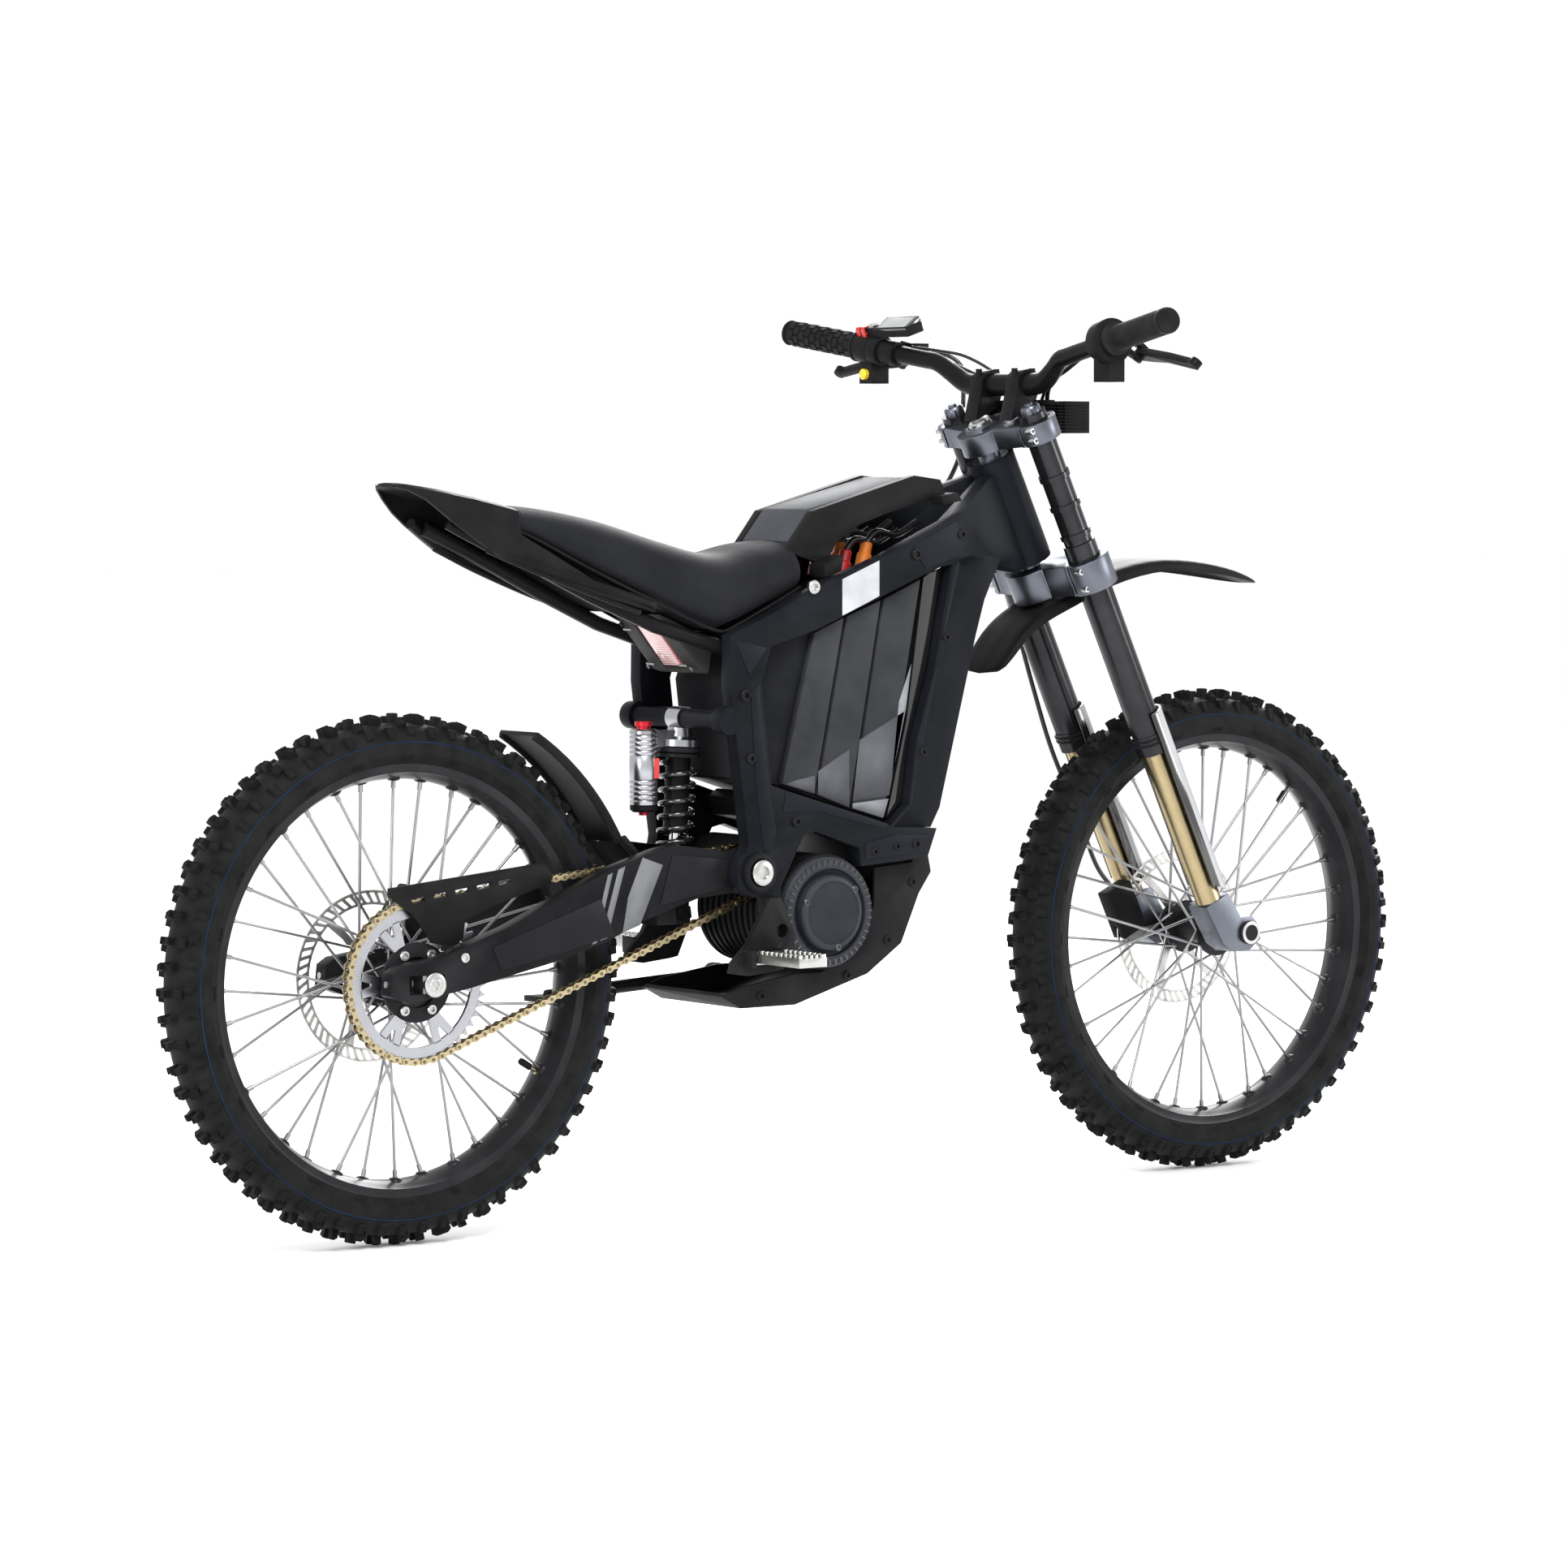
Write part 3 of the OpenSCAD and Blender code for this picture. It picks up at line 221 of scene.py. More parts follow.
M = {
    "frame": painted("frame_paint", (0.0040, 0.0046, 0.0070), 0.42, worn=(0.028, 0.031, 0.04)),
    "black_metal": painted("black_powder_coat", (0.0045, 0.0045, 0.005), 0.36, worn=(0.03, 0.03, 0.033)),
    "plate": painted("plate_paint", (0.008, 0.0083, 0.009), 0.45, worn=(0.035, 0.035, 0.035)),
    "battery": painted("battery_paint", (0.027, 0.028, 0.031), 0.40),
    "battery_dark": painted("battery_side_paint", (0.008, 0.0085, 0.010), 0.35),
    "facet_mid": painted("facet_mid_print", (0.085, 0.087, 0.097), 0.45),
    "facet_light": painted("facet_light_print", (0.22, 0.225, 0.245), 0.45),
    "gloss_black": glossy("gloss_black_panel", (0.006, 0.006, 0.007), 0.16),
    "arm": painted("arm_paint", (0.005, 0.0052, 0.006), 0.36, worn=(0.03, 0.03, 0.033)),
    "stripe": painted("stripe_print", (0.16, 0.165, 0.175), 0.4),
    "plastic": moulded("black_moulding", (0.008, 0.008, 0.0085), 0.45),
    "cover_grey": moulded("grey_moulding", (0.050, 0.053, 0.062), 0.45),
    "lamp_housing": moulded("lamp_housing_moulding", (0.042, 0.042, 0.041), 0.55),
    "cast": painted("black_casting", (0.008, 0.008, 0.0085), 0.5, peel=500, strength=0.2),
    "motor_cover": painted("motor_cover_paint", (0.022, 0.024, 0.031), 0.36, worn=(0.09, 0.09, 0.10)),
    "steel": brushed("zinc_steel", (0.50, 0.50, 0.49), 0.30),
    "alloy": brushed("polished_alloy", (0.40, 0.405, 0.43), 0.28, stretch=(300, 300, 300), strength=0.03),
    "clamp": brushed("clamp_alloy", (0.135, 0.145, 0.17), 0.36, stretch=(120, 120, 120), strength=0.015),
    "rotor": brushed("rotor_steel", (0.58, 0.57, 0.55), 0.30, stretch=(700, 30, 700)),
    "champagne": brushed("champagne_anodised", (0.40, 0.325, 0.185), 0.30, stretch=(600, 600, 30),
                         strength=0.06),
    "tube": painted("tube_anodised", (0.035, 0.035, 0.038), 0.20, metal=0.8, strength=0.01),
    "chrome": brushed("hard_chrome", (0.75, 0.75, 0.76), 0.10, strength=0.02),
    "gold": brushed("chain_gold", (0.46, 0.385, 0.235), 0.30, strength=0.05),
    # Pins and rollers: the chain gold darkened to a third, painted shade for the dark gaps between the link
    # plates
    "chain_shade": brushed("chain_painted_shade", (0.16, 0.13, 0.08), 0.35, strength=0.05),
    "spoke": brushed("spoke_steel", (0.30, 0.30, 0.31), 0.30, strength=0.03),
    "rim": painted("rim_anodised", (0.022, 0.022, 0.024), 0.30, metal=0.5, strength=0.03),
    "spring": glossy("spring_coat", (0.008, 0.008, 0.009), 0.2),
    "rubber": rubber("tyre_rubber", (0.0065, 0.0065, 0.007), 0.6),
    "grip": rubber("grip_rubber", (0.010, 0.010, 0.011), 0.55),
    "hose": glossy("hose_jacket", (0.008, 0.008, 0.009), 0.35, coat=0.2),
    "seat": vinyl("seat_vinyl", (0.008, 0.0085, 0.011)),
    "guard": glossy("guard_light", (0.38, 0.39, 0.41), 0.25, coat=0.4),
    "white": painted("white_label", (0.42, 0.43, 0.45), 0.4),
    "screen": glossy("lcd_glass", (0.34, 0.36, 0.35), 0.3, coat=0.1),
    "lamp_glass": glossy("lamp_glass", (0.20, 0.21, 0.22), 0.08),
    "red": glossy("red_plastic", (0.50, 0.02, 0.02), 0.3, coat=0.5),
    "red_anodised": painted("red_anodised", (0.45, 0.02, 0.03), 0.28, metal=0.7),
    "orange": glossy("orange_plastic", (0.75, 0.20, 0.02), 0.35, coat=0.3),
    "yellow": glossy("yellow_plastic", (0.80, 0.58, 0.02), 0.3, coat=0.5),
    "blue": painted("blue_line", (0.006, 0.020, 0.055), 0.6),
}


def ribbed_lens():
    pink = (0.80, 0.50, 0.50)
    mat, tree, bsdf = shader("ribbed_lens", pink, 0.15, Transmission_Weight=0.2, Coat_Weight=1.0)
    vary(tree, bsdf, pink, 0.15, spread=0.15)
    grain(tree, bsdf, "Wave", "Fac", 0.5, 0.001, Scale=110, bands_direction="Z")
    return mat


M["lens"] = ribbed_lens()

SLOT_MATERIAL = {
    "frame": "frame", "bearing_steel": "steel", "black_metal": "black_metal", "seat_vinyl": "seat",
    "black_plastic": "plastic", "lens": "lens", "cover_grey": "cover_grey", "battery_grey": "battery",
    "motor_black": "cast", "plate_grey": "plate", "bolt_steel": "steel", "sprocket_alloy": "alloy",
    "peg_steel": "steel", "shock_alloy": "alloy", "shaft_chrome": "chrome", "spring_black": "spring",
    "arm_black": "arm", "chain_gold": "gold", "caliper_black": "cast", "tyre": "rubber",
    "rim_black": "rim", "spoke_steel": "spoke", "hub_black": "rim", "rotor_steel": "rotor",
    "clamp_alloy": "clamp", "tube_black": "tube", "leg_champagne": "champagne", "guard_white": "guard",
    "bar_black": "black_metal", "lamp_black": "plastic", "switch_black": "plastic", "grip_rubber": "grip",
    "hose_rubber": "hose", "lever_black": "black_metal", "button_red": "red", "button_yellow": "yellow",
}
NODE_SLOT = {s["node"]: s["material_slot"] for s in frame["record"]["subparts"]}


# ---- mesh helpers ----

def new_object(name, bm, materials, smooth=30):
    mesh = bpy.data.meshes.new(name)
    bm.normal_update()
    bm.to_mesh(mesh)
    bm.free()
    for material in materials:
        mesh.materials.append(material)
    obj = bpy.data.objects.new(name, mesh)
    bpy.context.scene.collection.objects.link(obj)
    mesh.shade_smooth()
    if smooth:
        mesh.set_sharp_from_angle(angle=math.radians(smooth))
    return obj


def apply_modifiers(obj):
    """Bakes the object's modifiers into its mesh."""
    graph = bpy.context.evaluated_depsgraph_get()
    mesh = bpy.data.meshes.new_from_object(obj.evaluated_get(graph))
    obj.modifiers.clear()
    obj.data = mesh
    return obj


def bevel(obj, width, segments=2, angle=35):
    made = obj.modifiers.new("edge", "BEVEL")
    made.width = width
    made.segments = segments
    made.limit_method = "ANGLE"
    made.angle_limit = math.radians(angle)
    made.harden_normals = False
    apply_modifiers(obj)
    obj.data.shade_smooth()
    obj.data.set_sharp_from_angle(angle=math.radians(40))
    return obj


def fit(obj, body, slot, *nodes):
    """Says what a finished piece rides and which CAD nodes it stands for; the slot is not used."""
    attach(obj, body)
    if nodes:
        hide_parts(*nodes)
    return obj


def piece(name, bm, materials, smooth, body, slot, *nodes):
    """Makes one finished piece; materials are names of M, with spaces between."""
    return fit(new_object(name, bm, [M[key] for key in materials.split()], smooth), body, slot, *nodes)


def bevelled(width, name, bm, materials, body, slot, *nodes):
    """The same with every sharp edge rounded."""
    obj = new_object(name, bm, [M[key] for key in materials.split()])
    return fit(bevel(obj, width), body, slot, *nodes)


def soften(node, width, material=None):
    """A copy of a CAD node with its edges rounded, which stands for the node."""
    bm = bmesh.new()
    bm.from_mesh(frame["nodes"][node].data)
    bmesh.ops.remove_doubles(bm, verts=bm.verts, dist=1e-6)
    bmesh.ops.dissolve_limit(bm, angle_limit=math.radians(1.5), verts=bm.verts, edges=bm.edges)
    obj = new_object(node + "_piece", bm, [material or M[SLOT_MATERIAL[NODE_SLOT[node]]]])
    bevel(obj, width)
    return fit(obj, NODE_BODY[node], NODE_SLOT[node], node)


# ---- shape helpers ----

def paint(bm, faces, material):
    """Gives new faces their material and turns them outward."""
    for face in faces:
        face.material_index = material
    bmesh.ops.recalc_face_normals(bm, faces=faces)


def quads(bm, rings):
    """Faces between neighbouring rings of vertices; a ring may be one vertex repeated."""
    faces = []
    for low, high in zip(rings, rings[1:]):
        for k in range(len(low)):
            n = (k + 1) % len(low)
            corners = list(dict.fromkeys((low[k], low[n], high[n], high[k])))
            if len(corners) > 2:
                faces.append(bm.faces.new(corners))
    return faces


def prism(bm, near_points, far_points, material=0):
    """Closes two outlines of equal length into a solid plate."""
    near = [bm.verts.new(p) for p in near_points]
    far = [bm.verts.new(p) for p in far_points]
    faces = [bm.faces.new(near), bm.faces.new(far[::-1])]
    paint(bm, faces + quads(bm, [near, far]), material)


def circle(centre, radius, side, up, steps):
    turns = [2 * math.pi * k / steps for k in range(steps)]
    return [centre + radius * (math.cos(turn) * side + math.sin(turn) * up) for turn in turns]


def slab(bm, outline, y_lo, y_hi, material=0):
    """A closed plate across the bike from an [x, z] outline in millimetres."""
    prism(bm, *([at(x, y, z) for x, z in outline] for y in (y_lo, y_hi)), material=material)


def sides(bm, outline, y_lo, y_hi, material=0):
    """The same plate on the right and on the left."""
    slab(bm, outline, -y_hi, -y_lo, material)
    slab(bm, outline, y_lo, y_hi, material)


def lathe(bm, profile, origin, axis, steps=48, material=0, closed=False):
    """Turns [radius, along] points, in metres, round an axis through origin."""
    axis = Vector(axis).normalized()
    side = axis.cross(Vector((0.37, 0.11, 0.92)))
    if side.length < 0.2:
        side = axis.cross(Vector((1, 0, 0)))
    side.normalize()
    up = axis.cross(side)
    rings = []
    for radius, along in profile:
        if radius < 1e-6:
            rings.append([bm.verts.new(origin + axis * along)] * steps)
            continue
        rings.append([bm.verts.new(v) for v in circle(origin + axis * along, radius, side, up, steps)])
    paint(bm, quads(bm, rings + rings[:1] if closed else rings), material)


def plug(bm, radius, low, high, origin, axis, steps=48, material=0):
    """A solid round between two distances along its axis."""
    lathe(bm, [(0.0, low), (radius, low), (radius, high), (0.0, high)], origin, axis, steps, material)


def box(bm, centre, size, turn=None, material=0):
    made = bmesh.ops.create_cube(bm, size=1)
    matrix = Matrix.Translation(centre) @ (turn or Matrix.Identity(4)) @ Matrix.Diagonal((*size, 1))
    bmesh.ops.transform(bm, matrix=matrix, verts=made["verts"])
    for face in {f for v in made["verts"] for f in v.link_faces}:
        face.material_index = material


def frame_from(axis, origin):
    """A matrix at origin whose Z runs along axis."""
    z = Vector(axis).normalized()
    x = Vector((0, 0, 1)).cross(z)
    x = x.normalized() if x.length > 1e-4 else Vector((1, 0, 0))
    return Matrix.Translation(origin) @ Matrix((x, z.cross(x), z)).transposed().to_4x4()


def spline(points, steps=8):
    """Catmull-Rom points through a list of points."""
    pts = [Vector(p) for p in points]
    out = []
    for i in range(len(pts) - 1):
        a, b = pts[max(i - 1, 0)], pts[i]
        c, d = pts[i + 1], pts[min(i + 2, len(pts) - 1)]
        for s in range(steps):
            t = s / steps
            out.append(0.5 * (2 * b + (c - a) * t + (2 * a - 5 * b + 4 * c - d) * t * t
                              + (3 * b - a - 3 * c + d) * t ** 3))
    return out + [pts[-1]]


def bike_route(*points, steps=8):
    """A smooth route through points in the bike's millimetres."""
    return spline([at(*p) for p in points], steps)


def tube(bm, route, radii, segments=16, material=0):
    """A round tube along a route; radii is one radius or one for each point."""
    radii = radii if isinstance(radii, (list, tuple)) else [radii] * len(route)
    side = None
    rings = []
    for i, point in enumerate(route):
        tangent = (route[min(i + 1, len(route) - 1)] - route[max(i - 1, 0)]).normalized()
        if side is None:
            side = tangent.cross(Vector((0.2, 0.3, 0.93))).normalized()
        side = (side - tangent * side.dot(tangent)).normalized()
        up = tangent.cross(side)
        rings.append([bm.verts.new(v) for v in circle(point, radii[i], side, up, segments)])
    paint(bm, quads(bm, rings) + [bm.faces.new(rings[0][::-1]), bm.faces.new(rings[-1])], material)


def mirrored(bm, build):
    """Runs build on a new mesh, mirrors it to the other side and joins both into bm."""
    half = bmesh.new()
    build(half)
    mesh = bpy.data.meshes.new("half")
    half.to_mesh(mesh)
    half.free()
    bm.from_mesh(mesh)
    mesh.transform(Matrix.Diagonal((1, -1, 1, 1)))
    mesh.flip_normals()
    bm.from_mesh(mesh)
    bpy.data.meshes.remove(mesh)


def bolt_head(bm, place, axis, radius, height, material=0):
    """A round cap screw with a hexagon socket."""
    axis = Vector(axis).normalized()
    rim = [(0.0, 0.0), (radius, 0.0), (radius, height * 0.75), (radius * 0.86, height),
           (radius * 0.5, height), (radius * 0.46, height * 0.45), (0.0, height * 0.4)]
    lathe(bm, rim, Vector(place), axis, steps=18, material=material)


# ---- tyres ----

KNOBS_ROUND = 64
CARCASS_R = 0.0275
SECTION_R = 0.0392
TREAD_R = TYRE_R - SECTION_R


def tyre_point(axle, turn, phi, s):
    """A point on the tyre: turn round the wheel, phi across the section, s from its centre."""
    radius = TREAD_R + s * math.cos(phi)
    return axle + Vector((radius * math.cos(turn), s * math.sin(phi), radius * math.sin(turn)))


def carcass_s(phi):
    return CARCASS_R + 0.0085 * math.sin(phi) ** 2


def knob(bm, axle, turn, half_turn, degrees_lo, degrees_hi, s_top=SECTION_R, skew=0.0):
    """One tread block: a wide foot on the carcass, sloping sides and a sunken dot on top."""
    phi_lo, phi_hi = math.radians(degrees_lo), math.radians(degrees_hi)
    loops = []
    for grow, lift in ((1.22, 0.0), (1.0, 0.45), (0.93, 0.93), (0.80, 1.0)):
        middle, half = (phi_lo + phi_hi) / 2, (phi_hi - phi_lo) / 2 * grow
        loop = []
        for a, b in ((-1, -1), (1, -1), (1, 1), (-1, 1)):
            phi = middle + b * half
            base = carcass_s(phi) - 0.0012
            loop.append(bm.verts.new(tyre_point(
                axle, turn + a * half_turn * grow + b * skew, phi, base + (s_top - base) * lift)))
        loops.append(loop)
    quads(bm, loops)
    top = bm.faces.new(loops[-1])
    bmesh.ops.inset_individual(bm, faces=[top], thickness=0.0028)
    for vert in top.verts:
        vert.co -= (vert.co - axle) * 0.0045


def build_tyre(name, axle, body):
    bm = bmesh.new()
    # Carcass from bead to bead, with a raised bead line and a step below the shoulder
    count = 56
    profile = []
    for k in range(count + 1):
        phi = math.radians(-137 + 274 * k / count)
        s = carcass_s(phi)
        width = abs(math.degrees(phi))
        if 100 < width < 105:
            s += 0.0009
        if 122 < width < 127:
            s += 0.0008
        profile.append((TREAD_R + s * math.cos(phi), s * math.sin(phi)))
    lathe(bm, profile, axle, ACROSS, steps=180, material=0)
    step = 2 * math.pi / KNOBS_ROUND
    for k in range(KNOBS_ROUND):
        turn = k * step
        if k % 2:
            for lo, hi in ((-24, -5), (5, 24)):
                knob(bm, axle, turn, 0.0145, lo, hi, skew=0.004)
        else:
            knob(bm, axle, turn, 0.0150, -9, 9)
            for lo, hi in ((-43, -25), (25, 43)):
                knob(bm, axle, turn, 0.0155, lo, hi)
        for side in (-1, 1):
            lo, hi = sorted((side * 48, side * (72 if k % 2 else 66)))
            knob(bm, axle, turn + step * 0.25 * side, 0.0170, lo, hi, SECTION_R - 0.0003)
    # Fine rib that carries the coloured line below the shoulder blocks
    for side in (-1, 1):
        phis = [math.radians(side * v) for v in (78.2, 78.8, 79.6, 80.2)]
        lifts = (0.0, 0.0006, 0.0006, 0.0)
        rib = [(TREAD_R + (carcass_s(p) + d) * math.cos(p), (carcass_s(p) + d) * math.sin(p))
               for p, d in zip(phis, lifts)]
        lathe(bm, rib, axle, ACROSS, steps=180, material=1)
    # Raised plain blocks round the sidewall instead of moulded lettering
    for side in (-1, 1):
        for k in range(24):
            turn = 2 * math.pi * (k + 0.5 * (side > 0)) / 24
            for j in range(3):
                phi_a, phi_b = math.radians(side * (108 + 3 * j)), math.radians(side * (109.6 + 3 * j))
                base, top = ([bm.verts.new(tyre_point(axle, turn + t, p, carcass_s(p) + lift))
                              for t, p in ((-wide, phi_a), (wide, phi_a), (wide, phi_b), (-wide, phi_b))]
                             for wide, lift in ((0.032, -0.0004), (0.03, 0.0007)))
                bm.faces.new(top)
                quads(bm, [base, top])
    bmesh.ops.recalc_face_normals(bm, faces=bm.faces)
    piece(name + "_knobby", bm, "rubber blue", 38, body, "tyre", name)


REAR_AXLE = at(0, 0, 311.3)
FRONT_AXLE = at(1238.4, 0, 311.3)
build_tyre("rear_tyre", REAR_AXLE, "rear_wheel")
build_tyre("front_tyre", FRONT_AXLE, "front_wheel")


# ---- rims, valves and brake rotors ----

def build_rim(name, axle, body):
    """Deep-section rim with a rolled lip, and a boss for each nipple."""
    half, inner = 0.028, RIM_R - 0.020
    profile = [
        (RIM_R - 0.001, half), (RIM_R + 0.0004, half - 0.0016), (RIM_R - 0.001, half - 0.003),
        (RIM_R - 0.008, half - 0.004), (RIM_R - 0.008, -half + 0.004), (RIM_R - 0.001, -half + 0.003),
        (RIM_R + 0.0004, -half + 0.0016), (RIM_R - 0.001, -half), (RIM_R - 0.005, -half + 0.0012),
        (RIM_R - 0.0115, -half + 0.0015), (RIM_R - 0.013, -0.0225), (RIM_R - 0.0155, -0.018),
        (inner + 0.0012, -0.009), (inner, -0.004), (inner, 0.004), (inner + 0.0012, 0.009),
        (RIM_R - 0.0155, 0.018), (RIM_R - 0.013, 0.0225), (RIM_R - 0.0115, half - 0.0015),
        (RIM_R - 0.005, half - 0.0012)]
    bm = bmesh.new()
    lathe(bm, profile, axle, ACROSS, steps=216, closed=True)
    for i in range(36):
        turn = 2 * math.pi * i / 36
        out = Vector((math.cos(turn), 0, -math.sin(turn)))
        y = 0.003 if i % 2 == 0 else -0.003
        foot = axle + out * (inner + 0.004) + Vector((0, y, 0))
        lathe(bm, [(0.0095, 0.0), (0.0085, 0.0035), (0.0062, 0.0058), (0.0035, 0.0064), (0.0, 0.0064)],
              foot, -out, steps=16)
    piece(name + "_section", bm, "rim", 35, body, "rim_black", name)


def build_valve(name, axle, angle, body):
    turn = math.radians(angle)
    out = Vector((math.cos(turn), 0, math.sin(turn)))
    foot = axle + out * (RIM_R - 0.018)
    bm = bmesh.new()
    lathe(bm, [(0.0045, 0), (0.0045, 0.003), (0.0028, 0.004), (0.0028, 0.014)], foot, -out, 16)
    lathe(bm, [(0.0028, 0.012), (0.0042, 0.013), (0.0044, 0.027), (0.0036, 0.0295), (0.0, 0.030)],
          foot, -out, 16, 1)
    piece(name, bm, "gold plastic", 40, body, "hub_black")


for wheel, axle_place, valve_angle in (("rear", REAR_AXLE, -31), ("front", FRONT_AXLE, 50)):
    wheel_body = wheel + "_wheel"
    build_rim(wheel + "_rim", axle_place, wheel_body)
    build_valve(wheel + "_valve", axle_place, valve_angle, wheel_body)


def build_rotor(name, axle, y, body):
    """Brake rotor: outer band cut by slanted slots, on six swept arms."""
    bm = bmesh.new()
    outer, inner, thick, count = 0.1015, 0.0845, 0.002, 54
    step = 2 * math.pi / count

    def point(radius, turn, side):
        return axle + Vector((radius * math.cos(turn), y + side * thick / 2, radius * math.sin(turn)))

    def bar(corners):
        prism(bm, *([point(r, t, side) for r, t in corners] for side in (-1, 1)))

    for k in range(count):
        turn = k * step
        for low, high in ((inner, inner + 0.003), (outer - 0.003, outer)):
            bar([(low, turn), (high, turn), (high, turn + step), (low, turn + step)])
        lean = 0.075
        bar([(inner + 0.0025, turn), (outer - 0.0025, turn + lean),
             (outer - 0.0025, turn + lean + step * 0.42), (inner + 0.0025, turn + step * 0.42)])
    for k in range(6):
        turn = k * math.pi / 3
        bar([(0.030, turn - 0.20), (0.060, turn + 0.02), (inner + 0.001, turn + 0.12),
             (inner + 0.001, turn + 0.24), (0.058, turn + 0.17), (0.030, turn + 0.16)])
    ring = 36
    for k in range(ring):
        turn = 2 * math.pi * k / ring
        after = turn + 2 * math.pi / ring
        bar([(0.021, turn), (0.032, turn), (0.032, after), (0.021, after)])
    for k in range(6):
        turn = k * math.pi / 3 + 0.35
        place = axle + Vector((0.0265 * math.cos(turn), y + thick / 2, 0.0265 * math.sin(turn)))
        bolt_head(bm, place, (0, 1, 0), 0.004, 0.003, material=1)
    bmesh.ops.recalc_face_normals(bm, faces=bm.faces)
    piece(name + "_disc", bm, "rotor black_metal", 30, body, "rotor_steel", name)


build_rotor("rear_rotor", REAR_AXLE, 0.050, "rear_wheel")
build_rotor("front_rotor", FRONT_AXLE, 0.047, "front_wheel")


# ---- chain ----

CHAIN_PITCH = 0.0127
REAR_PITCH_R = CHAIN_PITCH / 2 / math.sin(math.pi / 46)
DRIVE_PITCH_R = CHAIN_PITCH / 2 / math.sin(math.pi / 13)
DRIVE_AXLE = at(502, 0, 428)


def chain_route():
    """Points one pitch apart round both sprockets, as [x, z] in the row frame."""
    a, b = Vector((REAR_AXLE.x, REAR_AXLE.z)), Vector((DRIVE_AXLE.x, DRIVE_AXLE.z))
    run = b - a
    base = math.atan2(run.y, run.x)
    lean = math.asin((REAR_PITCH_R - DRIVE_PITCH_R) / run.length)
    straight = math.sqrt(run.length ** 2 - (REAR_PITCH_R - DRIVE_PITCH_R) ** 2)
    up = base + math.pi / 2 - lean
    low = base - math.pi / 2 + lean
    total = 2 * straight + REAR_PITCH_R * (2 * math.pi - (up - low)) + DRIVE_PITCH_R * (up - low)
    count = 2 * round(total / CHAIN_PITCH / 2)
    wrap = DRIVE_PITCH_R * (up - low)

    def rear(turn):
        return a + REAR_PITCH_R * Vector((math.cos(turn), math.sin(turn)))

    def drive(turn):
        return b + DRIVE_PITCH_R * Vector((math.cos(turn), math.sin(turn)))

    out = []
    for k in range(count):
        s = total * k / count
        if s < straight:
            out.append(rear(up) + (drive(up) - rear(up)) * (s / straight))
        elif s < straight + wrap:
            out.append(drive(up - (s - straight) / DRIVE_PITCH_R))
        elif s < 2 * straight + wrap:
            out.append(drive(low) + (rear(low) - drive(low)) * ((s - straight - wrap) / straight))
        else:
            out.append(rear(low - (s - 2 * straight - wrap) / REAR_PITCH_R))
    return out


def link_plate(bm, p, q, y, thick):
    """Waisted side plate of one link between two pins."""
    run = (q - p).normalized()
    normal = Vector((-run.y, run.x))
    length = (q - p).length
    outline = []
    for end, first, waist in ((p, math.pi / 2, -0.0024), (q, -math.pi / 2, 0.0024)):
        for k in range(7):
            turn = first + math.pi * k / 6
            outline.append(end + 0.0044 * (math.cos(turn) * run + math.sin(turn) * normal))
        outline.append(p + run * length / 2 + normal * waist)
    prism(bm, *([(v.x, y + side * thick / 2, v.y) for v in outline] for side in (-1, 1)))


def build_chain():
    points = chain_route()
    bm = bmesh.new()
    for i, p in enumerate(points):
        q = points[(i + 1) % len(points)]
        offset = 0.0042 if i % 2 else 0.0056
        for side in (-1, 1):
            link_plate(bm, p, q, CHAIN_Y + side * offset, 0.0012)
        # Pins and rollers take the darkened chain gold (material 1), painted shade in the gaps between the
        # plates
        pin = Vector((p.x, CHAIN_Y, p.y))
        plug(bm, 0.0021, -0.0068, 0.0068, pin, ACROSS, 10, 1)
        plug(bm, 0.0036, -0.0033, 0.0033, pin, ACROSS, 12, 1)
    bmesh.ops.recalc_face_normals(bm, faces=bm.faces)
    obj = new_object("chain_links", bm, [M["gold"], M["chain_shade"]], smooth=35)
    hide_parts("chain")
    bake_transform(obj)


build_chain()


# ---- seat ----

def curve_value(points, x):
    """Smooth value at x of a list of (x, value) points."""
    xs = [p[0] for p in points]
    i = max(1, min(len(xs) - 1, next((k for k, v in enumerate(xs) if v >= x), len(xs) - 1)))
    (x0, v0), (x1, v1) = points[i - 1], points[i]
    before, after = points[max(i - 2, 0)], points[min(i + 1, len(points) - 1)]
    m0 = (v1 - before[1]) / (x1 - before[0])
    m1 = (after[1] - v0) / (after[0] - x0)
    t = min(1, max(0, (x - x0) / (x1 - x0)))
    h = x1 - x0
    return ((2 * t ** 3 - 3 * t * t + 1) * v0 + (t ** 3 - 2 * t * t + t) * h * m0
            + (-2 * t ** 3 + 3 * t * t) * v1 + (t ** 3 - t * t) * h * m1)


SEAT_TOP = [(122, 852), (145, 864), (254, 850), (350, 824), (415, 808), (450, 807), (497, 817), (541, 822)]
SEAT_LOW = [(122, 836), (150, 829), (243, 783), (331, 743), (411, 711), (440, 719), (470, 732),
            (500, 745), (541, 764)]
SEAT_HALF = [(122, 56), (200, 68), (243, 75), (331, 84), (411, 90), (450, 88), (500, 84), (541, 80)]


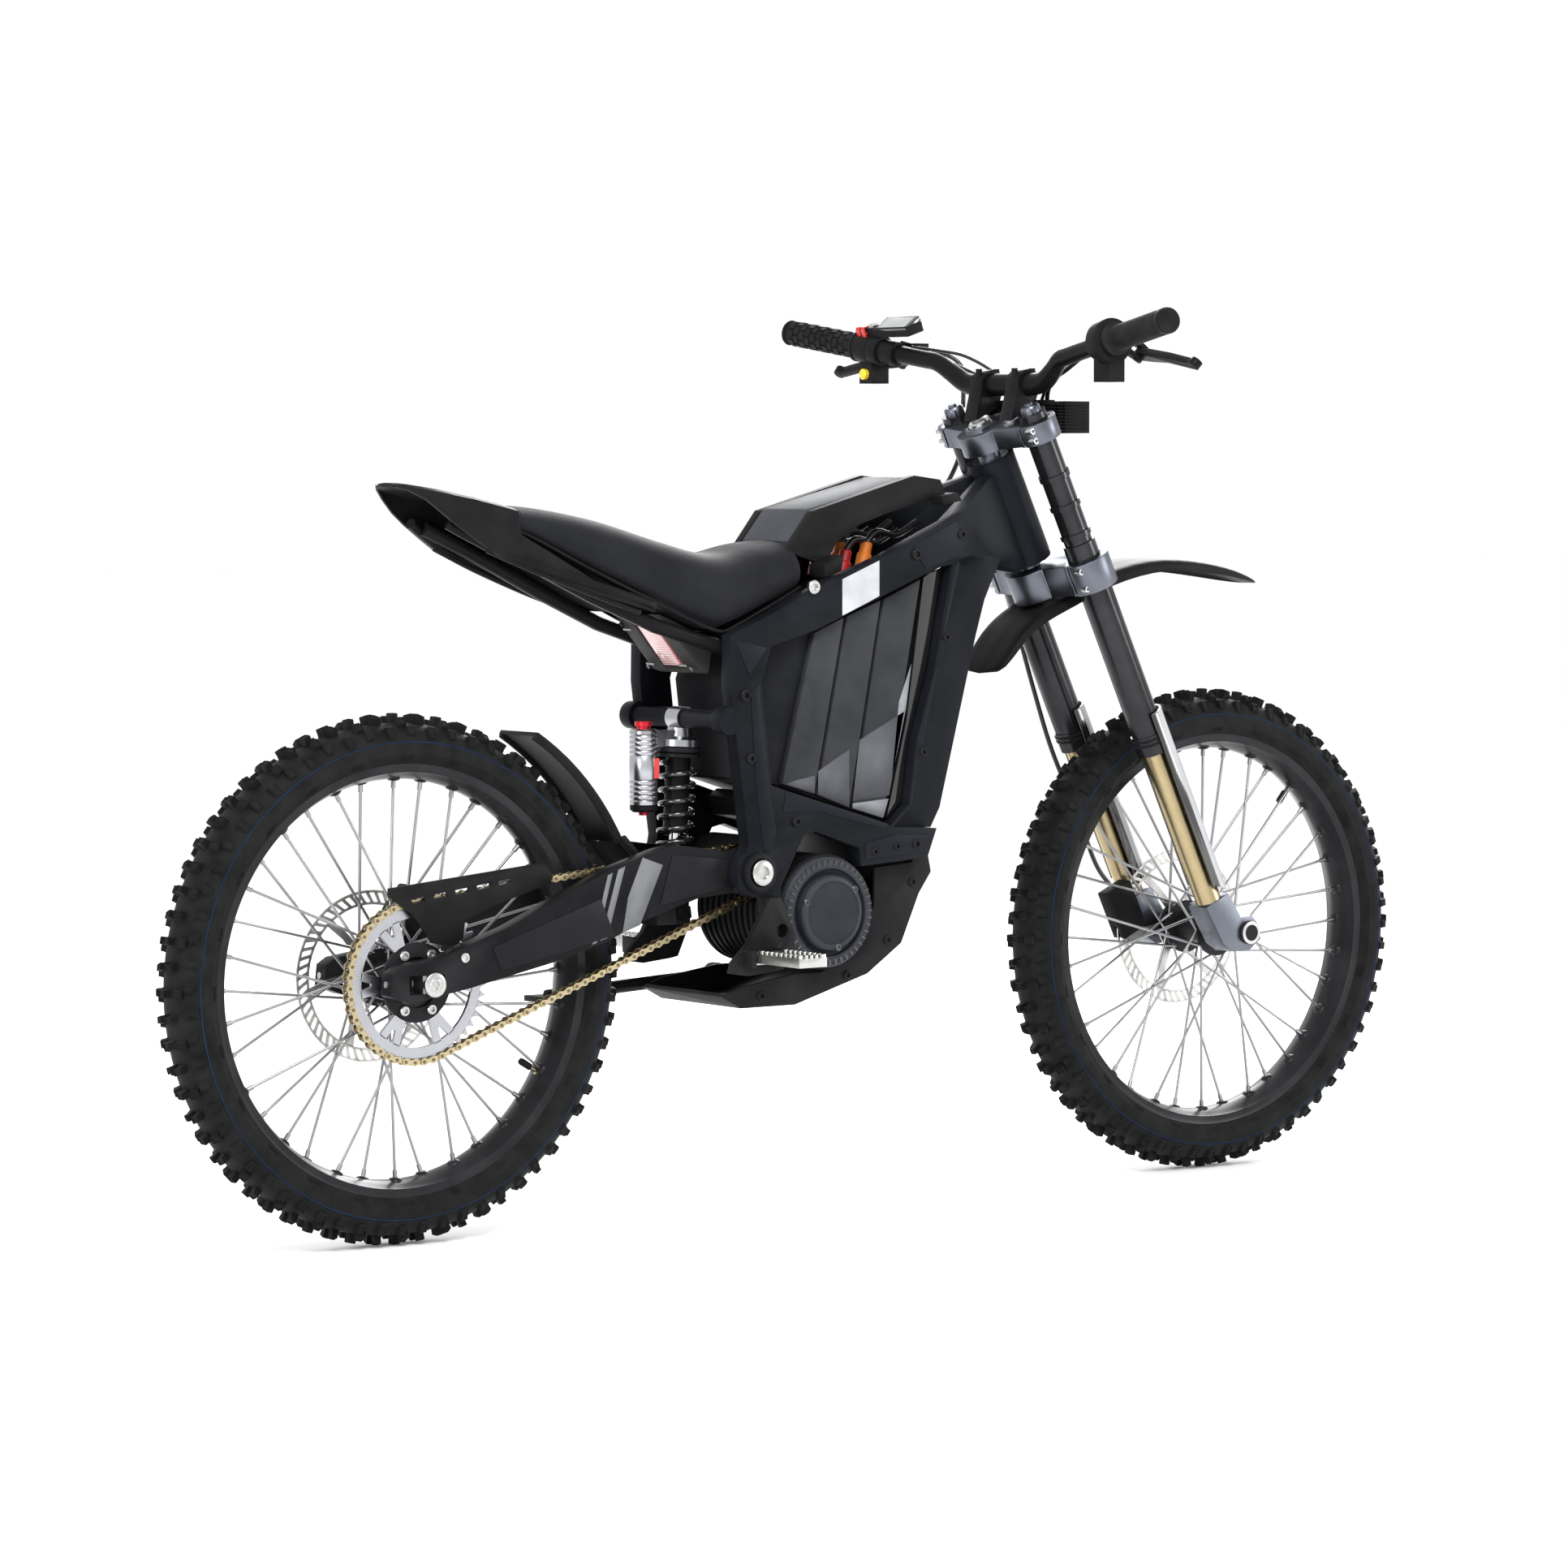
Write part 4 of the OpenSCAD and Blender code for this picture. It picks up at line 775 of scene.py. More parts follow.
def build_seat():
    bm = bmesh.new()
    stations, around = 60, 28
    rings = []
    for i in range(stations + 1):
        x = 122 + 419 * i / stations
        end = min(1, min(i, stations - i) / 3.0)
        end = math.sqrt(max(0.0, 1 - (1 - end) ** 2)) * 0.5 + 0.5 if end < 1 else 1
        top, low = curve_value(SEAT_TOP, x), curve_value(SEAT_LOW, x)
        half = curve_value(SEAT_HALF, x) * (0.9 + 0.1 * end)
        middle = (top + low) / 2
        top = middle + (top - middle) * (0.75 + 0.25 * end)
        crown = 9 + 7 * min(1, (x - 122) / 150)
        ring = []
        for k in range(around + 1):
            # From the right lower edge over the crown to the left lower edge
            u = -1 + 2 * k / around
            turn = u * math.pi / 2
            across = half * u
            if 0 < k < around:
                across = half * math.copysign(abs(math.sin(turn)) ** 0.42, u)
            rise = abs(math.cos(turn)) ** 0.62
            edge_top = top - crown * (across / half) ** 2
            z = low + (edge_top - low) * rise
            # Sides draw in a little below the shoulder, and swell at mid height
            pull = 1 - 0.10 * (1 - rise) ** 2 + 0.015 * math.sin(math.pi * rise)
            ring.append(bm.verts.new(at(x, across * pull, z)))
        rings.append(ring)
    for low_ring, high_ring in zip(rings, rings[1:]):
        for k in range(around):
            bm.faces.new((low_ring[k], low_ring[k + 1], high_ring[k + 1], high_ring[k]))
        bm.faces.new((low_ring[0], high_ring[0], high_ring[-1], low_ring[-1]))
    bm.faces.new(rings[0][::-1])
    bm.faces.new(rings[-1])
    bmesh.ops.recalc_face_normals(bm, faces=bm.faces)
    obj = new_object("seat_pad", bm, [M["seat"]], smooth=60)
    made = obj.modifiers.new("soft", "SUBSURF")
    made.levels = made.render_levels = 1
    apply_modifiers(obj)
    obj.data.shade_smooth()
    fit(obj, "chassis", "seat_vinyl", "seat")
    # Piped welt along both lower edges
    bm = bmesh.new()

    def welt(half):
        route = []
        for i in range(61):
            x = 125 + 412 * i / 60
            route.append(at(x, curve_value(SEAT_HALF, x) * 0.905 + 0.6, curve_value(SEAT_LOW, x) + 1.2))
        tube(half, route, 0.0022, 10)

    mirrored(bm, welt)
    piece("seat_welt", bm, "plastic", 60, "chassis", "black_plastic")


build_seat()


# ---- battery ----

def build_battery():
    core = bmesh.new()
    slab(core, [(476, 690), (461, 650), (476, 530), (655, 474), (717, 664), (744, 790), (600, 752)], -83, 83)
    bevelled(0.003, "battery_core", core, "battery_dark", "chassis", "battery_grey", "battery_case")
    top = [(543, 709), (592, 728), (648, 748), (707, 772)]
    low = [(494, 527), (547, 512), (600, 493), (650, 480)]
    panels = bmesh.new()
    facets = bmesh.new()
    for i in range(3):
        gap = 3.2 if i < 2 else 1.0
        outline = [(top[i][0] + 1.2, top[i][1]), (top[i + 1][0] - gap, top[i + 1][1] - gap * 0.4),
                   (low[i + 1][0] - gap, low[i + 1][1] + gap * 0.3), (low[i][0] + 1.2, low[i][1])]
        sides(panels, outline, 83, 93.5)
    bevelled(0.0016, "battery_panels", panels, "battery", "chassis", "battery_grey")
    # Angular two-tone print over the lower half of the panels, and a bright blade beside them
    sides(facets, [(500, 527), (544, 514.5), (544, 536), (516, 531)], 93.5, 93.9)
    sides(facets, [(549, 512.5), (596, 496), (596, 566), (549, 541)], 93.5, 93.9)
    sides(facets, [(601.5, 494), (648, 480.5), (656, 504), (601.5, 500)], 93.5, 93.9, 1)
    sides(facets, [(601.5, 503), (657, 508), (680, 610), (612, 577)], 93.5, 93.9)
    sides(facets, [(661, 528), (683, 614), (691, 668), (672, 622)], 93.5, 93.9, 1)
    piece("battery_print", facets, "facet_mid facet_light", 0, "chassis", "battery_grey")
    strip = bmesh.new()
    sides(strip, [(712, 774), (741, 786), (717, 664), (690, 576), (678, 499), (655, 479), (662, 506),
                  (686, 600)], 83, 91)
    bevelled(0.0015, "battery_edge", strip, "gloss_black", "chassis", "battery_grey")
    plugs = bmesh.new()
    for y in (-36, 18):
        for x, lift, kind in ((636, 0, 0), (668, 9, 1)):
            place = at(x, y + 9, 786 + lift)
            lathe(plugs, [(0.0, -0.012), (0.0095, -0.012), (0.0095, 0.006), (0.0075, 0.008), (0.0075, 0.020),
                          (0.0055, 0.022), (0.0, 0.022)], place, (0.25, 0, 1), 24, kind)
            lead = ((0.005, 0, 0.020), (0.020, 0, 0.034), (0.052, 0.002, 0.030), (0.085, 0.003, 0.046))
            tube(plugs, spline([place + Vector(step) for step in lead]), 0.0042, 12, 2)
    piece("power_plugs", plugs, "red orange hose", 40, "chassis", "battery_grey")


build_battery()


# ---- tail and fenders ----

def skin(bm, rings, material=0):
    """Closes a row of rings of equal length into one solid skin."""
    rows = [[bm.verts.new(p) for p in ring] for ring in rings]
    paint(bm, [bm.faces.new(rows[0][::-1]), bm.faces.new(rows[-1])] + quads(bm, rows), material)


def hollow_ring(half, crown, under, under_crown):
    """A shell's section: the outer skin from side to side, then its underside back."""
    other = [(-y, z) for y, z in half[::-1]]
    return half + [(0, crown)] + other + under + [(0, under_crown)] + [(-y, z) for y, z in under[::-1]]


def rounded(obj, levels=1):
    """Smooths a piece by subdivision, keeping the creases already marked."""
    made = obj.modifiers.new("soft", "SUBSURF")
    made.levels = made.render_levels = levels
    apply_modifiers(obj)
    obj.data.shade_smooth()
    obj.data.set_sharp_from_angle(angle=math.radians(50))
    return obj


TAIL_RINGS = [  # x, half width, top z, side z
    (-8, 20, 890, 886), (2, 36, 890, 881), (18, 50, 887, 870), (36, 57, 884, 854), (54, 60, 880, 840),
    (80, 63, 875, 822), (105, 66, 869, 806), (134, 69, 862, 797), (139, 69, 834, 796), (185, 75, 808, 777),
    (240, 80, 777, 757), (316, 84, 740, 737)]


def build_tail():
    rings = []
    for x, w, top, low in TAIL_RINGS:
        half = [(-w, low), (-w - 1.2, low + (top - low) * 0.40), (-w + 1, low + (top - low) * 0.55),
                (-w * 0.95, top - 5), (-w * 0.80, top - 1.5), (-w * 0.4, top - 0.4)]
        inner = [(w - 4, low), (w - 5, max(low + 1, top - 9)), (w * 0.4, top - 5)]
        rings.append([at(x, y, z) for y, z in hollow_ring(half, top, inner, top - 5)])
    bm = bmesh.new()
    skin(bm, rings)
    piece("tail_shell", bm, "plastic", 28, "chassis", "black_plastic", "tail_fender")
    # Dark tubes and strakes that run forward under the seat's edge
    bm = bmesh.new()

    def strakes(half):
        tube(half, bike_route((52, 40, 842), (80, 50, 826), (120, 62, 806), (190, 73, 783),
                              (262, 78, 760), (318, 76, 744)), 0.0065, 14)
        tube(half, bike_route((96, 56, 812), (160, 66, 786), (240, 74, 757), (300, 74, 737)), 0.004, 10)

    mirrored(bm, strakes)
    piece("tail_tubes", bm, "black_metal", 60, "chassis", "black_metal")


build_tail()

FENDER_PATH = [  # x, z, half width, edge drop
    (1322, 760, 17, 3), (1296, 769, 30, 9), (1262, 778, 42, 12), (1225, 785, 50, 14), (1180, 791, 55, 16),
    (1130, 794, 58, 17), (1085, 788, 55, 18), (1042, 776, 52, 18), (1012, 762, 50, 16), (985, 748, 49, 15),
    (950, 733, 48, 14), (928, 720, 46, 13), (905, 702, 45, 12), (884, 675, 43, 10), (867, 651, 41, 6)]


def build_front_fender():
    points = [Vector((x, z)) for x, z, w, d in FENDER_PATH]
    rings = []
    for i, (x, z, w, d) in enumerate(FENDER_PATH):
        run = (points[min(i + 1, len(points) - 1)] - points[max(i - 1, 0)]).normalized()
        up = Vector((run.y, -run.x))
        if up.y < 0:
            up = -up
        half = [(-w, -d), (-w * 0.985, -d * 0.45), (-w * 0.93, -2.6), (-w * 0.74, -0.8), (-w * 0.35, -1.4)]
        under = [(w - 2.6, -d), (w * 0.90, -d * 0.45 - 2), (w * 0.70, -4.2)]
        ring = hollow_ring(half, 0, under, -4.0)
        rings.append([at(x + up.x * n, y, z + up.y * n) for y, n in ring])
    bm = bmesh.new()
    skin(bm, rings)
    obj = rounded(new_object("front_fender_shell", bm, [M["plastic"]], smooth=0))
    fit(obj, "steering", "black_plastic", "front_fender")
    bolts = bmesh.new()
    for x, y in ((962, 22), (962, -22), (1004, 22), (1004, -22)):
        bolt_head(bolts, at(x, y, 738 if x < 980 else 756), (-0.42, 0, 0.9), 0.006, 0.004)
    piece("fender_bolts", bolts, "black_metal", 40, "steering", "black_plastic")


build_front_fender()


# ---- covers and frame ----

# Width of the rounded edges of each node that keeps its CAD shape, in metres
EDGE_WIDTH = {
    "main_frame": 0.0022, "top_cover": 0.003, "cover_rails": 0.004, "subframe": 0.0005,
    "skid_plate": 0.002, "swingarm": 0.003, "chain_guard": 0.0009, "rear_hugger": 0.001,
    "peg_brackets": 0.0012, "tail_light_housing": 0.0015, "upper_clamp": 0.002, "lower_clamp": 0.002,
    "bar_clamps": 0.0015, "brake_masters": 0.0012, "brake_lever_left": 0.0025,
    "brake_lever_right": 0.0025, "control_unit": 0.0012, "front_caliper": 0.003, "rear_caliper": 0.003,
    "side_stand": 0.0015, "footpeg_left": 0.0009, "footpeg_right": 0.0009, "motor_housing": 0.0008,
}
for node_name, edge_width in EDGE_WIDTH.items():
    soften(node_name, edge_width, M["lamp_housing"] if node_name == "tail_light_housing" else None)


def build_frame_trim():
    """Blank label, gusset facets and raised edges of the side plates."""
    bm = bmesh.new()
    sides(bm, [(577, 773), (633, 795), (633, 752), (617, 745), (577, 729)], 104.9, 105.4)
    bevelled(0.0001, "spar_label", bm, "white", "chassis", "frame")
    bm = bmesh.new()
    for outer, outline in (
            (106.2, [(416, 703), (464, 692), (438, 660)]),
            (106.0, [(684, 812), (752, 843), (766, 803), (752, 798), (704, 784)]),
            (106.0, [(492, 520), (647, 474), (641, 468), (544, 492), (488, 494)]),
            (106.0, [(440, 640), (452, 648), (467, 528), (478, 470), (462, 430), (448, 520)]),
            (106.2, [(612, 432), (700, 437), (712, 458), (660, 461), (612, 452)]),
            (105.8, [(691, 574), (722, 664), (748, 786), (757, 792), (722, 660), (699, 568)])):
        sides(bm, outline, 104.5, outer)
    bevelled(0.0012, "frame_facets", bm, "frame", "chassis", "frame")
    bm = bmesh.new()
    for side in (-1, 1):
        out = (0, side, 0)
        for x, z, r in ((432, 636, 7), (690, 802, 7), (508, 482, 6), (690, 448, 6), (660, 446, 5),
                        (626, 441, 5), (474, 350, 6), (440, 560, 6), (700, 560, 5), (736, 700, 5),
                        (760, 826, 6)):
            bolt_head(bm, at(x, side * 105, z), out, r / 1000, 0.0035)
        bolt_head(bm, at(533, side * 104.5, 764), out, 0.0085, 0.005, 1)
        place = at(451, side * 111, 423)
        lathe(bm, [(0.0, 0.0), (0.021, 0.0), (0.021, 0.0015), (0.017, 0.002)], place, out, 32)
        bolt_head(bm, place, out, 0.0155, 0.0065, 1)
        for x, z in ((700, 400), (662, 330), (600, 290), (470, 272)):
            bolt_head(bm, at(x, side * 84, z), out, 0.0055, 0.003)
    tube(bm, [at(451, -112, 423), at(451, 112, 423)], 0.0099, 32, 1)
    piece("bolts", bm, "black_metal steel", 40, "chassis", "bolt_steel", "frame_bolts")
    bm = bmesh.new()
    box(bm, at(584, 0, 859.2), (0.030, 0.036, 0.0006), Matrix.Rotation(math.radians(-15), 4, "Y"))
    piece("cover_label", bm, "white", 0, "chassis", "cover_grey")


build_frame_trim()


def build_tray():
    """Wiring tray between the battery's foot and the motor, which closes the frame from side to side."""
    bm = bmesh.new()
    slab(bm, [(505, 505), (512, 482), (556, 472), (600, 463), (638, 430), (650, 404), (718, 404), (718, 468),
              (655, 472), (520, 514)], -77, 77)
    bevelled(0.002, "wiring_tray", bm, "cast", "chassis", "black_plastic")


build_tray()


# ---- motor, sprocket and shock ----

def build_motor_cover():
    bm = bmesh.new()
    hub = at(556, 0, 370)
    lathe(bm, [(0.0, 0.095), (0.067, 0.095), (0.067, 0.103), (0.064, 0.1065), (0.0555, 0.1085),
               (0.0535, 0.108), (0.052, 0.1035), (0.0465, 0.1015), (0.0455, 0.112), (0.043, 0.1150),
               (0.0385, 0.1165), (0.0375, 0.1150), (0.0, 0.1148)], hub, -ACROSS, 96)
    for k in range(44):
        turn = 2 * math.pi * k / 44
        spin = Matrix.Rotation(turn, 4, "Y")
        box(bm, hub + Vector((0.0605 * math.cos(turn), -0.1073, -0.0605 * math.sin(turn))),
            (0.0065, 0.0022, 0.0026), spin, 1)
    for k in range(3):
        turn = math.radians(120 * k + 40)
        place = hub + Vector((0.0425 * math.cos(turn), -0.1145, 0.0425 * math.sin(turn)))
        bolt_head(bm, place, -ACROSS, 0.0045, 0.002, 1)
    piece("motor_cap", bm, "motor_cover gloss_black", 30, "chassis", "motor_black", "motor_cover")


build_motor_cover()


def build_sprocket():
    bm = bmesh.new()

    def point(radius, turn, side):
        return REAR_AXLE + Vector((radius * math.cos(turn), CHAIN_Y + side * 0.0022, radius * math.sin(turn)))

    def plate(corners, material=0):
        prism(bm, *([point(r, t, side) for r, t in corners] for side in (-1, 1)), material=material)

    step = 2 * math.pi / 46
    for k in range(46):
        a = k * step
        plate([(0.076, a), (0.0885, a), (0.0885, a + step), (0.076, a + step)])
        plate([(0.0880, a + step * 0.12), (0.0925, a + step * 0.33), (0.0958, a + step * 0.43),
               (0.0958, a + step * 0.57), (0.0925, a + step * 0.67), (0.0880, a + step * 0.88)])
    for k in range(6):
        a = k * math.pi / 3
        plate([(0.046, a - 0.17), (0.077, a - 0.20), (0.077, a - 0.08), (0.062, a - 0.03), (0.062, a + 0.03),
               (0.077, a + 0.08), (0.077, a + 0.20), (0.046, a + 0.17)])
        for j in range(6):
            plate([(0.030, a + j * 0.1745), (0.047, a + j * 0.1745), (0.047, a + (j + 1) * 0.1745),
                   (0.030, a + (j + 1) * 0.1745)], 1)
        place = point(0.037, a, 0)
        bolt_head(bm, place - Vector((0, 0.002, 0)), (0, -1, 0), 0.0062, 0.005, 2)
    bmesh.ops.recalc_face_normals(bm, faces=bm.faces)
    piece("sprocket_plate", bm, "alloy black_metal steel", 30, "rear_wheel", "sprocket_alloy",
          "rear_sprocket")


build_sprocket()

SHOCK_LOW = at(398, 0, 372)
SHOCK_TOP = at(411, 0, 606)


def build_shock():
    axis = (SHOCK_TOP - SHOCK_LOW).normalized()
    length = (SHOCK_TOP - SHOCK_LOW).length
    bm = bmesh.new()
    lathe(bm, [(0.0085, 0.095), (0.0150, 0.096), (0.0150, 0.186), (0.0262, 0.187), (0.0262, 0.191),
               (0.024, 0.192), (0.0262, 0.193), (0.0262, 0.198), (0.0085, 0.198)],
          SHOCK_LOW, axis, 48, 3, closed=True)
    lathe(bm, [(0.0085, 0.198), (0.024, 0.198), (0.0262, 0.200), (0.0262, 0.208), (0.016, 0.212),
               (0.0150, length - 0.012), (0.0085, length - 0.010)], SHOCK_LOW, axis, 48, 0, closed=True)
    lathe(bm, [(0.0072, -0.013), (0.0140, -0.013), (0.0140, 0.013), (0.0072, 0.013)], SHOCK_TOP, ACROSS, 32,
          closed=True)
    plug(bm, 0.0070, -0.0137, 0.0137, SHOCK_TOP, ACROSS, 24, 3)
    slab(bm, [(350, 592), (352, 572), (399, 572), (403, 592)], -9, 9)
    # Reservoir: ribbed silver body, red window, black cap below and red knob on top
    foot = at(357, 0, 494)
    lathe(bm, [(0.0, 0.0), (0.0135, 0.0), (0.0168, 0.003), (0.0168, 0.009)], foot, UP, 40, 3)
    body = [(0.0168, 0.009)]
    for k in range(14):
        if not 4 < k < 9:
            body += [(0.0172, 0.013 + 0.006 * k), (0.0162, 0.0145 + 0.006 * k), (0.0172, 0.016 + 0.006 * k)]
    lathe(bm, body + [(0.0170, 0.098), (0.0150, 0.100), (0.0, 0.100)], foot, UP, 40)
    for side in (-1, 1):
        box(bm, foot + Vector((0.006, side * 0.0118, 0.053)), (0.013, 0.011, 0.024),
            Matrix.Rotation(side * 0.45, 4, "Z"), 2)
    lathe(bm, [(0.0, 0.100), (0.0085, 0.100), (0.0085, 0.103), (0.0108, 0.1035), (0.0108, 0.109),
               (0.0, 0.109)], foot, UP, 20, 1)
    plug(bm, 0.006, -0.004, 0.0, foot, UP, 16, 1)
    piece("shock_upper", bm, "alloy red_anodised red black_metal", 35, "shock", "shock_alloy", "shock_body")
    side = axis.cross(ACROSS).normalized()
    up = axis.cross(side)
    turns, per_turn, coil_r = 9, 24, 0.0196
    route = []
    for i in range(turns * per_turn + 1):
        angle = 2 * math.pi * i / per_turn
        centre = SHOCK_LOW + axis * (0.033 + (length - 0.087) * i / (turns * per_turn))
        route.append(centre + coil_r * (math.cos(angle) * side + math.sin(angle) * up))
    bm = bmesh.new()
    tube(bm, route, 0.0036, 12)
    # The coil runs between the rod's lower seat and the body's upper one
    spring = new_object("shock_coil", bm, [M["spring"]], smooth=60)
    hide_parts("shock_spring")
    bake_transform(spring)


build_shock()


def build_arm_trim():
    bm = bmesh.new()
    for y in (-84.2, 83.7):
        slab(bm, [(297, 446), (326, 436), (293, 366), (268, 358), (276, 400)], y, y + 0.5)
        slab(bm, [(262, 433), (272, 437), (246, 353), (236, 350)], y, y + 0.5)
        slab(bm, [(247, 427), (254, 430), (231, 348), (224, 346)], y, y + 0.5)
    piece("arm_stripes", bm, "stripe", 0, "rear_arm", "arm_black")
    bm = bmesh.new()
    for side in (-1, 1):
        y_lo, y_hi = sorted((side * 83.4, side * 85.2))
        slab(bm, [(84, 350), (236, 400), (256, 356), (170, 336), (96, 322)], y_lo, y_hi)
        slab(bm, [(340, 448), (424, 438), (414, 404), (322, 388)], y_lo, y_hi)
        bolt_head(bm, at(45, side * 83, 340), (0, side, 0), 0.006, 0.004, 1)
        bolt_head(bm, at(0, side * 91, 311.3), (0, side, 0), 0.0085, 0.004, 1)
        lathe(bm, [(0.0145, 0.0), (0.0145, 0.002), (0.0125, 0.003), (0.0082, 0.003)], at(0, side * 91, 311.3),
              (0, side, 0), 32, 1)
    bevelled(0.0008, "arm_facets", bm, "arm steel", "rear_arm", "arm_black")


build_arm_trim()


# ---- fork ----

def zoned(node, width, materials, choose):
    """A softened copy of a node whose faces take a finish by where they are."""
    obj = soften(node, width, materials[0])
    for material in materials[1:]:
        obj.data.materials.append(material)
    for polygon in obj.data.polygons:
        polygon.material_index = choose(obj.matrix_world @ polygon.center)
    return obj


def fork_coords(p):
    """The inverse of in_fork."""
    x, z = p.x + WHEELBASE / 2 - STEER_X, p.z
    return (x * math.cos(RAKE) + z * math.sin(RAKE), p.y, -x * math.sin(RAKE) + z * math.cos(RAKE))


LEG_FOOT = AXLE_FZ + 0.0625
GUARD_BAND = (AXLE_FZ + 0.175, AXLE_FZ + 0.183)
GUARD_FACE = CLAMP_OFFSET + 0.006


def leg_zone(p):
    """Anodised leg above its bare foot."""
    return 0 if fork_coords(p)[2] > LEG_FOOT else 1


def guard_zone(p):
    """Light face of a guard; its back edge and one band across it are dark."""
    fx, y, fz = fork_coords(p)
    return 1 if fx < GUARD_FACE or GUARD_BAND[0] < fz < GUARD_BAND[1] else 0


zoned("fork_legs", 0.0012, [M["champagne"], M["clamp"]], leg_zone)
zoned("fork_guards", 0.0008, [M["guard"], M["gloss_black"]], guard_zone)


def build_fork_trim():
    bm = bmesh.new()
    up = in_fork(0, 0, 1) - in_fork(0, 0, 0)
    for side in (-1, 1):
        y = side * FORK_GAP
        lathe(bm, [(0.0, 1.066), (0.0125, 1.066), (0.0125, 1.073), (0.010, 1.076), (0.0055, 1.076),
                   (0.005, 1.079), (0.0, 1.079)], in_fork(CLAMP_OFFSET, y, 0), up, 24)
        for z in (0.607, 0.613):
            lathe(bm, [(0.0226, z), (0.0236, z + 0.001), (0.0236, z + 0.003), (0.0226, z + 0.004)],
                  in_fork(CLAMP_OFFSET, y, 0), up, 48, 1)
        for z in (0.834, 0.858, 1.037, 1.050):
            radius = 0.029 if z < 0.9 else 0.0255
            place = in_fork(CLAMP_OFFSET - radius + 0.004, y + side * 0.007, z)
            bolt_head(bm, place, (0, side, 0), 0.0045, 0.012, 2)
    bolt_head(bm, in_fork(0, 0, 1.061), up, 0.012, 0.006, 2)
    piece("fork_fittings", bm, "clamp black_metal steel", 40, "steering", "clamp_alloy")
    bm = bmesh.new()
    for side in (-1, 1):
        lathe(bm, [(0.0, -0.003), (0.0098, -0.003), (0.0105, 0.0016), (0.0146, 0.0012), (0.0146, 0.0),
                   (0.0, -0.0005)], at(1238.4, side * 99, 311.3), Vector((0, side, 0)), 32)
    piece("axle_end_rings", bm, "steel", 40, "fork_lower", "bolt_steel")


build_fork_trim()


# ---- handlebar, controls, hoses ----

BAR = [(912, 0, 1012), (912, 30, 1012), (912, 58, 1012), (910.5, 80, 1016), (906, 103, 1029),
       (900, 124, 1041.5), (895.7, 148, 1046.2), (882.5, 228, 1059.1), (857, 382, 1084)]
BAR_CLAMP_R, BAR_END_R = 0.0143, 0.0111
BAR_TAPER_FROM, BAR_TAPER_TO = 0.054, 0.112
GRIP_FROM, GRIP_TO = at(899, 128, 1043), at(857, 382, 1084)
GRIP_AXIS = (GRIP_TO - GRIP_FROM).normalized()
GRIP_LEN = (GRIP_TO - GRIP_FROM).length


def mirror_y(v):
    return Vector((v[0], -v[1], v[2]))


def build_bar():
    half = [at(*p) for p in BAR]
    right = [mirror_y(p) for p in half[:0:-1]]
    route = spline(right + half)
    radii = []
    for p in route:
        taper = min(max((abs(p.y) - BAR_TAPER_FROM) / (BAR_TAPER_TO - BAR_TAPER_FROM), 0), 1)
        radii.append(BAR_CLAMP_R + (BAR_END_R - BAR_CLAMP_R) * taper)
    route[0] += (route[1] - route[0]).normalized() * 0.004
    route[-1] += (route[-2] - route[-1]).normalized() * 0.004
    bm = bmesh.new()
    tube(bm, route, radii, 32)
    piece("bar_tube", bm, "black_metal", 60, "steering", "bar_black", "handlebar")


build_bar()


def build_grips():
    """Rings of raised pads on the left; fine rings on the right twist grip."""
    def from_end(profile):
        return [(radius, GRIP_LEN - back) for radius, back in profile]

    bm = bmesh.new()
    lathe(bm, from_end([(0.0112, 0.128), (0.0198, 0.128), (0.0198, 0.1245), (0.0142, 0.123), (0.0142, 0.004),
                        (0.0160, 0.004), (0.0165, 0.002), (0.0155, 0), (0.0, 0)]), GRIP_FROM, GRIP_AXIS)
    turn = frame_from(GRIP_AXIS, GRIP_FROM)
    for k in range(11):
        for j in range(8):
            spin = turn @ Matrix.Rotation(math.pi / 4 * (j + 0.5 * (k % 2)), 4, "Z") @ Matrix.Translation(
                (0.0142, 0, GRIP_LEN - 0.117 + 0.0102 * k))
            box(bm, (0, 0, 0), (0.0036, 0.0088, 0.0078), spin)
    piece("left_grip_pads", bm, "grip", 35, "steering", "grip_rubber", "left_grip")
    bm = bmesh.new()
    profile = from_end([(0.0112, 0.128), (0.0200, 0.128), (0.0205, 0.124), (0.0160, 0.121)])
    for k in range(30):
        z = GRIP_LEN - 0.116 + 0.0036 * k
        profile += [(0.0160, z), (0.0155, z + 0.0006), (0.0155, z + 0.0012), (0.0160, z + 0.0018)]
    profile += from_end([(0.0163, 0.003), (0.0153, 0), (0.0, 0)])
    lathe(bm, profile, mirror_y(GRIP_FROM), mirror_y(GRIP_AXIS))
    piece("throttle_sleeve", bm, "grip", 45, "throttle", "grip_rubber", "throttle_grip")


build_grips()

POD = Matrix.Translation(at(884, 0, 1084)) @ Matrix.Rotation(math.radians(-18), 4, "Y")


def in_pod(x, y, z, size):
    return POD @ Matrix.Translation((x / 1000, y / 1000, z / 1000)), [v / 1000 for v in size]


